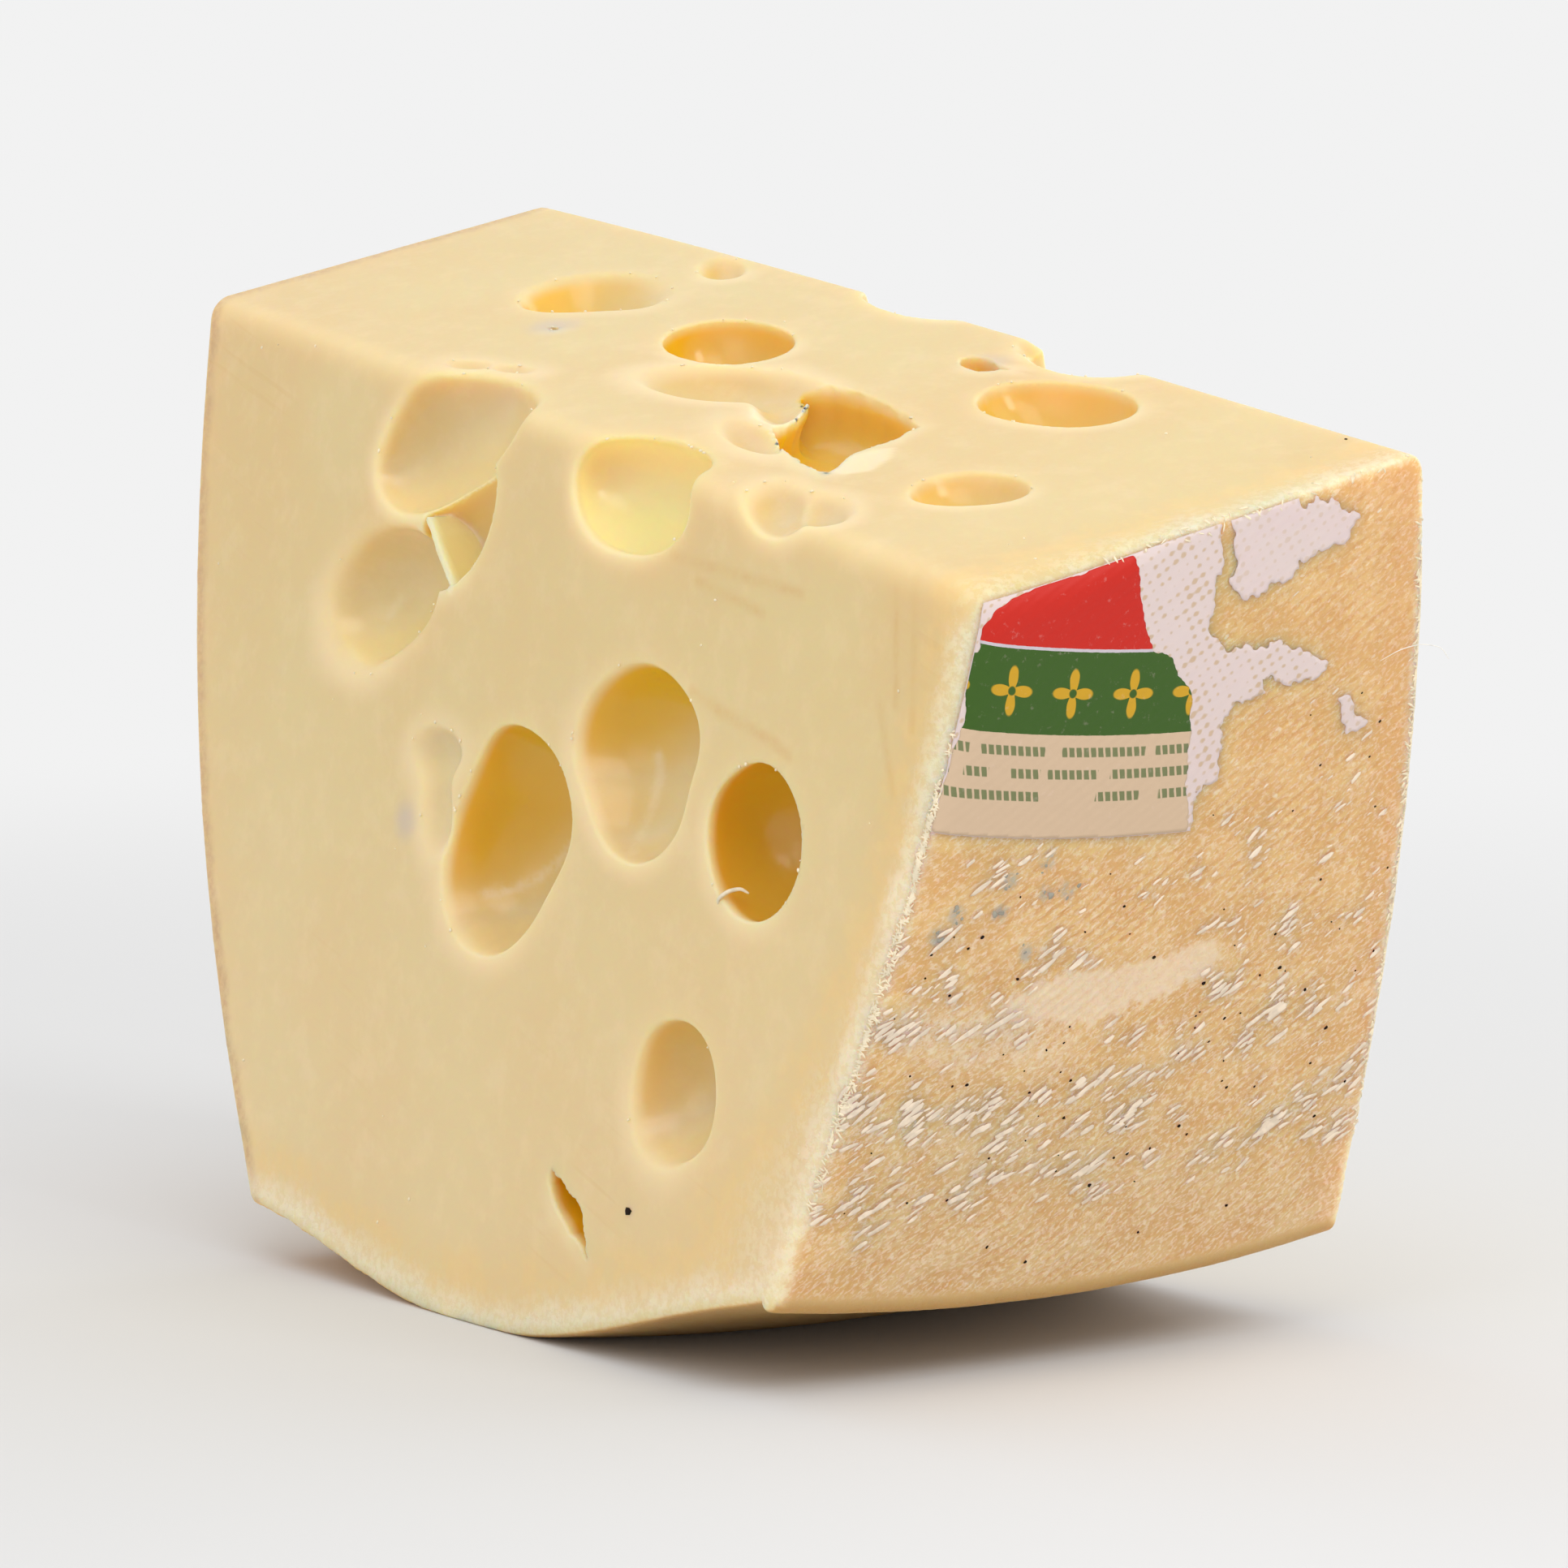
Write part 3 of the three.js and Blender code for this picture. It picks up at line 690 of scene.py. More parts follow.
WEAVE_ANGLE = math.radians(33)  # of the ribs above the rim's direction
RIB_COS, RIB_SIN = math.cos(WEAVE_ANGLE), math.sin(WEAVE_ANGLE)
WEAVE_PITCH = 1.55  # between ribs
WEAVE_DASH = 3.4  # between the crossings that break each rib
WEAVE_RELIEF = 0.2


def along_ribs(points, face):
    """Distances along and across the ribs; face is 1 on the wheel's flat sides, 0 on its heel."""
    x, y, z = points.T
    u = face * np.where(x > 0, y, -y) + (1 - face) * x
    v = face * z + (1 - face) * y
    across, along = -u * RIB_SIN + v * RIB_COS, u * RIB_COS + v * RIB_SIN
    return along, across + 0.35 * np.sin(along / 11) + 0.2 * np.sin(along / 4.3 + across / 7)


def weave(along, across):
    """Height of the pressed cloth's marks, 0 to 1."""
    rib = across / WEAVE_PITCH
    ridge = 0.5 + 0.5 * np.cos(2 * math.pi * rib)
    broken = 0.5 + 0.5 * np.cos(2 * math.pi * (along / WEAVE_DASH + 0.37 * np.round(rib)))
    return ridge * (0.55 + 0.45 * broken)


def rind_marks(points):
    """Values over the rind: its relief in millimetres, how much is rind, and its ribs' directions."""
    d = distances(points)
    on_face, cuts = most(d, ("right", "left")), most(d, CUTS)
    rind = ramp(np.maximum(on_face, d["heel"]) - cuts, -0.6, 0.6)
    along, across = along_ribs(points, ramp(on_face - d["heel"], -0.6, 0.6))
    worn = 0.72 + 0.28 * ripple(points, 24, 31) + 0.25 * ripple(points, 6, 32)
    worn = np.clip(worn, 0.1, 1.2) * (0.35 + 0.65 * ramp(-cuts, 2.0, 16.0))
    lip = (points[:, 0] > 0) * ramp(LIP_FACE - depth_of(points), -1.0, 1.0)
    grain = 0.05 * ripple(points, 1.9, 33) + 0.12 * ripple(points, 9, 34)
    relief = WEAVE_RELIEF * (weave(along, across) * worn * (1 - lip)) + grain * (1 - 0.7 * lip)
    relief = rind * relief * (1 - under_paper(points))
    return {"relief": relief, "rind": rind, "lip": lip * rind, "along": along, "across": across}


# --- The cheese

NET_STEP = 0.85
SHARP_BEND = 0.06  # quads that bend more than this are cut in four too
LOW_CORNER, HIGH_CORNER = array([-119, -60, -14]), array([131, 60, 182])


def refined(vertices, quads, chosen):
    """The same net with each chosen quad cut in four."""
    mesh = bpy.data.meshes.new("net")
    mesh.from_pydata(vertices.tolist(), [], quads.tolist())
    build = bmesh.new()
    build.from_mesh(mesh)
    build.faces.ensure_lookup_table()
    edges = {edge for n in np.nonzero(chosen)[0] for edge in build.faces[n].edges}
    bmesh.ops.subdivide_edges(build, edges=list(edges), cuts=1, use_grid_fill=True)
    build.to_mesh(mesh)
    build.free()
    return mesh


def make_cheese():
    vertices, quads = surface_net(block, LOW_CORNER, HIGH_CORNER, NET_STEP)
    vertices, outward = onto_surface(block, vertices, 2, 0.4)
    middles = vertices[quads].mean(axis=1)
    d = distances(middles)
    rind = (most(d, RINDS) > most(d, CUTS) - 1.5) & (uncut_block(middles) > -1)
    bend = 1 - np.min(np.sum(outward[quads] * outward[quads[:, [1, 2, 3, 0]]], axis=2), axis=1)
    mesh = refined(vertices, quads, rind | (bend > SHARP_BEND))
    points = np.zeros(len(mesh.vertices) * 3)
    mesh.vertices.foreach_get("co", points)
    points, outward = onto_surface(block, points.reshape(-1, 3), 1, 0.3)
    d, skin, marks = distances(points), uncut_block(points), rind_marks(points)
    outside = ramp(skin, -1.2, -0.2)
    low = (points + outward * (marks["relief"] * outside)[:, None]) @ TURN.T
    low[:, 2] = np.maximum(low[:, 2], REST_LEVEL)
    mesh.vertices.foreach_set("co", ((low + SHIFT) * MM).ravel())
    mesh.update()
    mesh.polygons.foreach_set("use_smooth", [True] * len(mesh.polygons))
    marks["rind"] = marks["rind"] * outside
    gold, rim = eye_values(points, outward, skin)
    keep(mesh, **marks, gold=gold, rim=rim, hollow=-skin, **stains_and_sheens(points))
    keep(mesh, **{"to_" + side: -away for side, away in d.items()})
    at, labelled = points[:, 1:], points[:, 0] > LABEL_SIDE
    mould = np.min([lengths(at - place) for place in MOULD_PLACES], axis=0)
    keep(
        mesh,
        bloom=labelled * ramp(from_outline(at, SMEAR) + torn(at, 71), 0.6, -0.6),
        mottle=labelled * ramp(from_outline(at, MOTTLE), 3, -3),
        mould=labelled * ramp(mould, 2.2, 0.4),
    )
    return shown("cheese_body", mesh)


# --- Thin sheets on the labelled face

SHEET_STEP = 0.42
SHEET_PRESS = 0.07  # how far the cloth's marks press into a sheet


def sheet(name, edge, low, high, under, thickness):
    """A closed sheet where edge(y, z) < 0, pressed a little into the cloth's marks."""
    counts = [int((high[n] - low[n]) / SHEET_STEP) + 1 for n in (0, 1)]
    lines = [low[n] + SHEET_STEP * np.arange(counts[n] + 1) for n in (0, 1)]
    grid = np.stack(np.meshgrid(*lines, indexing="ij"), -1)
    middle = (grid[1:, 1:] + grid[:-1, :-1]) / 2
    kept = (edge(middle.reshape(-1, 2)) < 0).reshape(counts)
    kept[[0, -1]] = kept[:, [0, -1]] = False
    for _ in range(3):  # no two cells meet at a corner alone
        first, second = kept[:-1, :-1] & kept[1:, 1:], kept[1:, :-1] & kept[:-1, 1:]
        kept[1:, :-1] |= first & ~kept[1:, :-1] & ~kept[:-1, 1:]
        kept[1:, 1:] |= second & ~kept[1:, 1:] & ~kept[:-1, :-1]
    padded = np.pad(kept, 1)
    around = padded[1:, 1:].astype(int) + padded[:-1, 1:] + padded[1:, :-1] + padded[:-1, :-1]
    used = around > 0
    number = np.full(used.shape, -1)
    number[used] = np.arange(used.sum())
    at, rim = grid[used], around[used] < 4

    loose, gap = at[rim], 0.05
    for _ in range(3):
        slope = [edge(loose + shift) - edge(loose - shift) for shift in gap * np.eye(2)]
        slope = np.stack(slope, 1) / (2 * gap)
        step = -(edge(loose) / np.maximum(np.sum(slope * slope, axis=1), 0.3))[:, None] * slope
        loose = loose + step * np.minimum(1, 0.25 * SHEET_STEP / np.maximum(lengths(step), 1e-9))[:, None]
    at[rim] = loose

    flat, depth = on_right(at)
    along, across = along_ribs(flat, 1.0)
    flat, outward = onto_surface(uncut_block, flat, 2, 2.0)
    lower = flat + outward * under
    upper = lower + outward * (thickness + SHEET_PRESS * weave(along, across))[:, None]
    i, j = np.nonzero(kept)
    ring = np.stack([number[i, j], number[i + 1, j], number[i + 1, j + 1], number[i, j + 1]], 1)
    sides = []
    for n, (di, dj) in enumerate([(0, -1), (1, 0), (0, 1), (-1, 0)]):
        p, q = ring[~padded[i + 1 + di, j + 1 + dj]][:, [n, (n + 1) % 4]].T
        sides.append(np.stack([p, p + len(at), q + len(at), q], 1))
    faces = np.concatenate([ring, ring[:, ::-1] + len(at)] + sides)
    thing = mesh_object(name, placed(np.concatenate([upper, lower])), faces.tolist())
    values = {"y": at[:, 0], "depth": depth, "along": along, "across": across}
    keep(thing.data, **{word: np.tile(value, 2) for word, value in values.items()})
    return thing


# --- Small things that lie on the block

CLUSTERS = 5400  # places tried for flakes of the rind
CRUMB_TRIES, EDGE_TRIES = 26000, 14000  # for crumbs on the cut faces, and frays on the edges
SPECKS, MOULD_SPOTS = 420, 26  # for dark specks, and grey spots
FIRST_SHARE, FACE_SHARE = 0.42, 0.78  # of the places: on the labelled face, and on both flat faces

# Heights of a mound's three rings, its top and its underside above the surface that it lies on.
FLAKE_RISE, CRUMB_RISE = (-0.1, 0.02, 0.06, 0.07, -0.1), (-0.12, 0.05, 0.16, 0.19, -0.12)
MOULD_RISE, SPECK_RISE = (-0.1, 0.02, 0.05, 0.06, -0.1), (-0.1, 0.06, 0.13, 0.15, -0.1)

# Where the grey spots lie and where dark specks are seen, on the labelled face and on the cuts.
MOULD_PLACES = [
    (-40.2, 60.8), (-37.4, 63.8), (-29.6, 63.4), (-29.0, 68.2), (-22.8, 70.8), (-22.0, 66.0),
    (-18.0, 66.0), (-23.6, 56.8),
]
CUT_SPECKS = [(38.0, -52.8, 14.9), (108.2, 35.3, 130.9)]
SPECK_PLACES = [
    (0.8, 54.1), (26.4, 50.0), (-12.3, 44.5), (15.6, 39.4), (17.6, 42.9), (11.7, 49.0), (39.5, 39.1),
    (38.2, 33.5), (27.6, 30.9), (21.6, 31.5), (14.2, 26.0), (16.2, 24.4), (42.1, 24.5), (-0.8, 18.3),
    (-17.4, 10.2), (5.1, 22.6), (11.8, 9.0), (-9.4, 7.0), (-29.0, 37.2), (-16.9, 34.7), (-9.2, 29.9),
    (-24.1, 53.0), (-6.8, 62.5), (-32.0, 60.0), (24.0, 55.5), (22.9, 49.1), (32.9, 45.9), (28.6, 11.4),
]

# A curl of cheese at an eye, and a loose fibre of the paper.
CURL = [
    (56.6, -46.6, 62.6), (57.4, -47.3, 63.9), (58.2, -46.0, 65.0), (59.4, -44.4, 65.4),
    (60.4, -43.6, 64.6),
]
FIBRE = [
    (115.4, 34.9, 96.7), (115.9, 38.6, 98.3), (116.0, 42.7, 98.9), (115.6, 47, 98.1),
    (114.7, 49.1, 96.1),
]


def laid(points, heights):
    """Points set at heights above the block's visible surface."""
    points, outward = onto_surface(uncut_block, points, 2, 2.0)
    return points + outward * (rind_marks(points)["relief"] + heights)[:, None]


def joined(name, centres, first, second, rings, heights):
    """One mesh of many small closed mounds, each with rings of points about its centre.

    rings has the same count of points on each ring; after the rings come its top and its underside.
    """
    count, levels, sides = rings.shape[:3]
    shifts = rings[..., 0:1] * first[:, None, None] + rings[..., 1:2] * second[:, None, None]
    body = (centres[:, None, None] + shifts).reshape(-1, 3)
    on_rings, on_ends = np.repeat(heights[:levels], sides), heights[levels:]
    lift = np.concatenate([np.tile(on_rings, count), np.tile(on_ends, count)])
    points = laid(np.concatenate([body, np.repeat(centres, 2, 0)]), lift)
    base = np.arange(count)[:, None] * levels * sides
    top = count * levels * sides + 2 * np.arange(count)[:, None]
    last = (levels - 1) * sides
    around = [(n, (n + 1) % sides) for n in range(sides)]
    quads = [
        np.concatenate([base + a + n, base + a + m, base + a + sides + m, base + a + sides + n], 1)
        for a in range(0, last, sides) for n, m in around
    ]
    caps = []
    for n, m in around:
        caps.append(np.concatenate([base + last + n, base + last + m, top], 1))
        caps.append(np.concatenate([base + m, base + n, top + 1], 1))
    return mesh_object(name, placed(points), np.concatenate(quads).tolist() + np.concatenate(caps).tolist())


def mound_rings(draw, long, wide, sides, levels=(1.0, 1.0, 0.6), point=1.0):
    """Outlines for mounds: rounded, a little pointed at both ends and uneven."""
    angle = 2 * math.pi * np.arange(sides) / sides
    size = array(levels)[None, :, None] * (1 + draw.uniform(-0.28, 0.28, (len(long), 1, sides)))
    reach = np.sign(np.cos(angle)) * np.abs(np.cos(angle)) ** point
    u = size * reach * long[:, None, None] / 2
    return np.stack([u, size * np.sin(angle) * wide[:, None, None] / 2], -1)


def turned(first, second, angle):
    c, s = np.cos(angle)[:, None], np.sin(angle)[:, None]
    return first * c + second * s, second * c - first * s


def rib_directions(points, outward):
    """Unit directions along and across the ribs at points of the rind."""
    sign, zero = np.where(points[:, 0] > 0, 1, -1), np.zeros(len(points))
    on_face = np.stack([zero, sign * RIB_COS, zero + RIB_SIN], 1)
    on_heel = np.stack([zero + RIB_COS, zero + RIB_SIN, zero], 1)
    first = np.where(np.abs(outward[:, :1]) > 0.75, on_face, on_heel)
    first = units(first - outward * np.sum(first * outward, axis=1)[:, None])
    return first, np.cross(outward, first)


def rind_spots(draw, count, weight):
    """Random places on the rind, drawn with a weight for each place, and the directions there."""
    x, y, z = (draw.uniform(low, high, count) for low, high in ((-112, 124), (-56, 56), (-22, 170)))
    face = draw.random(count)
    x = np.where(face < FIRST_SHARE, 118.0, np.where(face < FACE_SHARE, -104.0, x * 0.68))
    z = np.where(face < FACE_SHARE, z, -6.0)
    points, outward = onto_surface(uncut_block, np.stack([x, y, z], 1), 8, 12.0)
    marks = rind_marks(points)
    chosen = (marks["rind"] > 0.95) & (marks["lip"] < 0.05) & (under_paper(points) < 0.01)
    chosen &= ((points @ TURN.T)[:, 2] > REST_LEVEL + 0.6) & (draw.random(count) < weight(points))
    return points[chosen], outward[chosen]


def flake_weight(points):
    x, y, z = points.T
    crease = ramp(y, -15, -48) * ramp(z, 60, 20)
    weight = 0.05 + 0.6 * ramp(z, 105, 20) + 0.4 * crease
    weight = weight * (0.55 + 0.45 * ramp(ripple(points, 26, 81), -0.5, 0.5))
    clear = np.where(x > LABEL_SIDE, ramp(from_outline(points[:, 1:], SMEAR), 0.0, 1.5), 1.0)
    return weight * clear * ramp(depth_of(points), 0, 4)


def make_flakes():
    """Pale flakes of the rind that lie along its ribs, alone and in rows of a few."""
    draw = np.random.default_rng(5)
    middles, outward = rind_spots(draw, CLUSTERS, flake_weight)
    first, second = rib_directions(middles, outward)
    each = np.maximum(draw.integers(-3, 5, len(middles)), 1)
    group = np.repeat(np.arange(len(middles)), each)
    count, together = len(group), each[group] > 1
    row = (np.arange(count) - np.repeat(np.cumsum(each) - each, each) - each[group] / 2) * together
    slip = draw.normal(0, 1.5, count) * together
    centres = middles[group] + first[group] * slip[:, None] + second[group] * (row * 1.1)[:, None]
    tall = ramp(centres[:, 2], 110, 20)
    long = draw.gamma(4.0, 0.28, count) * (0.85 + 1.1 * tall) + 0.4
    wide = np.clip(long * draw.uniform(0.16, 0.42, count), 0.24, 0.9)
    first, second = turned(first[group], second[group], draw.normal(0.07, 0.09, count))
    rings = mound_rings(draw, long, wide, 8, (1.0, 1.0, 0.7), 0.7)
    return joined("rind_flakes", centres, first, second, rings, FLAKE_RISE)


def mound_places(draw, points):
    """Directions in the surface at each point, turned at random."""
    points, outward = onto_surface(uncut_block, points, 3, 3.0)
    first = units(np.cross(outward, unit(array([0.3, 0.5, 0.8]))))
    angle = draw.uniform(0, math.pi, len(points))
    return points, *turned(first, np.cross(outward, first), angle)


def make_crumbs():
    """Tiny crumbs and frays on the cut faces, round the eyes and along the edges of the rind."""
    draw = np.random.default_rng(7)
    box = ((-108, 122), (-56, 56), (2, 165))
    tries = np.stack([draw.uniform(low, high, CRUMB_TRIES) for low, high in box], 1)
    side = draw.integers(0, 3, CRUMB_TRIES)
    tries[side == 0, 1], tries[side == 1, 1], tries[side == 2, 2] = -48, 48, 150
    points, _ = onto_surface(uncut_block, tries, 5, 12.0)
    d = distances(points)
    cut = (most(d, CUTS) > -0.3) & (most(d, RINDS) < -3)
    moved = strayed(points)
    apart = np.min([eye.distance(moved) for eye in EYES], axis=0)
    by_eye = cut & (apart > 0.05) & (apart < 0.4) & (draw.random(CRUMB_TRIES) < 0.42)
    loose = cut & (apart > 1.5) & (draw.random(CRUMB_TRIES) < 0.004)

    z = draw.uniform(4, 150, EDGE_TRIES)
    tries = np.stack([np.full(EDGE_TRIES, 118.0), draw.uniform(-56, 56, EDGE_TRIES), z], 1)
    edge, _ = onto_surface(uncut_block, tries, 6, 12.0)
    d = distances(edge)
    edge = edge[(most(d, CUTS) > -1.6) & (d["right"] > -1.5) & (depth_of(edge) > 4)]

    spots, first, second = mound_places(draw, np.concatenate([points[by_eye], points[loose], edge]))
    count = len(spots)
    frays = np.arange(count) >= count - len(edge)
    long = np.where(frays, draw.uniform(0.5, 1.9, count), draw.uniform(0.25, 0.75, count))
    wide = np.where(frays, draw.uniform(0.2, 0.42, count), long * draw.uniform(0.5, 0.9, count))
    rings = mound_rings(draw, long, wide, 6)
    return joined("crumbs", spots, first, second, rings, CRUMB_RISE)


def make_mould():
    """A few bluish spots near the label's lower corner."""
    draw = np.random.default_rng(8)
    at = array(MOULD_PLACES)[draw.integers(0, len(MOULD_PLACES), MOULD_SPOTS)]
    at = at + draw.normal(0, 0.7, at.shape)
    points, first, second = mound_places(draw, on_right(at)[0][from_label(at) > 0.4])
    size = draw.gamma(3.0, 0.12, len(points)) + 0.2
    rings = mound_rings(draw, size * 1.3, size, 7, (1.0, 1.0, 0.7))
    return joined("mould_spots", points, first, second, rings, MOULD_RISE)


def make_specks():
    """Small dark specks on the rind."""
    draw = np.random.default_rng(6)
    some, _ = rind_spots(draw, SPECKS, lambda points: 0.25 + 0.75 * ramp(points[:, 2], 80, 50))
    known = np.concatenate([array(CUT_SPECKS), on_right(array(SPECK_PLACES))[0]])
    points, outward = onto_surface(uncut_block, np.concatenate([known, some]), 2, 1.0)
    first, second = rib_directions(points, outward)
    size = draw.uniform(0.22, 0.46, len(points))
    size[: len(known)] = draw.uniform(0.36, 0.62, len(known))
    size[0] = 1.2
    rings = mound_rings(draw, size * draw.uniform(1, 1.5, len(points)), size, 6)
    return joined("dark_specks", points, first, second, rings, SPECK_RISE)


def strand(name, path, radius, sides=6):
    """A thin closed thread along a path, thinner at its ends."""
    steps = np.linspace(0, len(path) - 1, 8 * len(path))
    line = np.stack([np.interp(steps, np.arange(len(path)), part) for part in array(path).T], 1)
    for _ in range(12):
        line[1:-1] = (line[:-2] + 2 * line[1:-1] + line[2:]) / 4
    ahead = units(np.gradient(line, axis=0))
    first = units(np.cross(ahead, (0.2, 0.1, 1.0)))
    second = np.cross(ahead, first)
    thick = radius * np.sqrt(np.sin(math.pi * np.linspace(0.04, 0.96, len(line))))
    angle = (2 * math.pi * np.arange(sides) / sides)[None, :, None]
    ring = first[:, None] * np.cos(angle) + second[:, None] * np.sin(angle)
    points = (line[:, None] + ring * thick[:, None, None]).reshape(-1, 3)
    last = (len(line) - 1) * sides
    faces = [[n + a, n + b, n + sides + b, n + sides + a] for n in range(0, last, sides)
             for a in range(sides) for b in [(a + 1) % sides]]
    faces += [list(range(sides))[::-1], [last + a for a in range(sides)]]
    return mesh_object(name, placed(points), faces)


# --- Shader maths


def operator(operation, swapped=False):
    """A method of a Wire that adds a Math node."""
    def method(self, other=None):
        return self.math(operation, *((other, self) if swapped else (self, other)))
    return method


class Wire:
    """A socket that can be added, multiplied and so on; each operation adds a Math node."""

    def __init__(self, shader, socket):
        self.shader, self.socket = shader, socket

    def math(self, operation, *values):
        return self.shader.node("Math", {"operation": operation}, values)

    __add__ = __radd__ = operator("ADD")
    __sub__, __rsub__ = operator("SUBTRACT"), operator("SUBTRACT", swapped=True)
    __mul__ = __rmul__ = operator("MULTIPLY")
    __truediv__ = operator("DIVIDE")
    __gt__, __lt__ = operator("GREATER_THAN"), operator("LESS_THAN")
    at_most, at_least = operator("MINIMUM"), operator("MAXIMUM")
    wave, size = operator("COSINE"), operator("ABSOLUTE")

    def between(self, low, high, start=0, end=1):
        """start below low, end above high and a smooth step between."""
        smooth = {"interpolation_type": "SMOOTHSTEP"}
        return self.shader.node("MapRange", smooth, (self, low, high, start, end))


class Shader:
    """A material or a world, and the nodes that are added to it."""

    def __init__(self, name, world=False, **constants):
        self.owner = (bpy.data.worlds if world else bpy.data.materials).new(name)
        self.owner.use_nodes = True
        self.tree = self.owner.node_tree
        self.surface = self.tree.nodes["Background" if world else "Principled BSDF"]
        for socket, value in constants.items():
            self.surface.inputs[socket.replace("_", " ")].default_value = value

    def node(self, kind, settings, values, output=0):
        """One node of a kind: its settings first, then the values or links of its sockets."""
        made = self.tree.nodes.new("ShaderNode" + kind)
        for name, value in settings.items():
            setattr(made, name, value)
        for key, value in values.items() if isinstance(values, dict) else enumerate(values):
            if isinstance(value, Wire):
                self.tree.links.new(value.socket, made.inputs[key])
            elif value is not None:
                made.inputs[key].default_value = value
        return Wire(self, made.outputs[output])

    def place(self):
        return self.node("TexCoord", {}, (), "Object")

    def value(self, name):
        return self.node("Attribute", {"attribute_name": name}, (), "Fac")

    def vector(self, *parts):
        return self.node("CombineXYZ", {}, parts)

    def noise(self, vector, scale, detail=2, rough=0.5):
        values = {"Vector": vector, "Scale": scale, "Detail": detail, "Roughness": rough}
        return self.node("TexNoise", {}, values)

    def mix(self, amount, first, second):
        """A colour between two, by an amount from 0 to 1."""
        return self.node("Mix", {"data_type": "RGBA"}, {0: amount, 6: first, 7: second}, 2)

    def layered(self, base, *layers):
        """A colour with others laid over it in turn, each by its amount."""
        for amount, tint in layers:
            base = self.mix(amount, base, tint)
        return base

    def bump(self, height, strength, distance):
        return self.node("Bump", {}, {"Height": height, "Strength": strength, "Distance": distance})

    def feed(self, socket, wire):
        self.tree.links.new(wire.socket, self.surface.inputs[socket])


def colour(red, green, blue):
    """An sRGB colour in 0 to 255 as the linear colour that a socket takes."""
    def linear(part):
        part /= 255
        return part / 12.92 if part <= 0.04045 else ((part + 0.055) / 1.055) ** 2.4
    return (linear(red), linear(green), linear(blue), 1.0)


# --- Materials

PASTE = colour(226, 204, 149)
PASTE_WARM = colour(226, 198, 142)
# Painted shade in the eyes, a deep gold for the front and back and one for the top, and painted light, pale,
# on their lit walls.
EYE_SHADE_GOLD = colour(227, 179, 24)
TOP_SHADE_GOLD = colour(236, 188, 10)
EYE_LIT_PALE = colour(255, 234, 168)
# Paler paste for random mottles, and the colour of the painted glow and highlight on rims and edges and of
# the painted fill light low down.
PALE_TONE_AND_GLOW = colour(240, 217, 171)
SKIN = colour(250, 230, 190)
RIND = colour(232, 188, 126)
RIND_GROOVE = colour(213, 155, 84)
RIND_PALE = colour(225, 194, 144)
RIND_WORN = colour(236, 196, 126)
FROST = colour(244, 224, 196)
# Pale mealy paste near the rind, and the colour of the painted sheens in the eyes.
MEALY_AND_SHEEN = colour(240, 222, 184)
CREASE = colour(250, 233, 204)
MARGIN = colour(238, 202, 130)
LEFT_MARGIN = colour(200, 166, 124)
SMEARED = colour(240, 216, 184)
MOULD = colour(186, 180, 164)
LIP_BROWN = colour(188, 148, 88)
LIP_PALE = colour(222, 190, 132)
# The heel's orange-brown rind, made brighter as painted light for the glow bounced onto it from the floor.
HEEL_TONE_AND_GLOW = colour(242, 182, 88)
GREY = colour(204, 188, 180)
STROKE = colour(214, 170, 100)


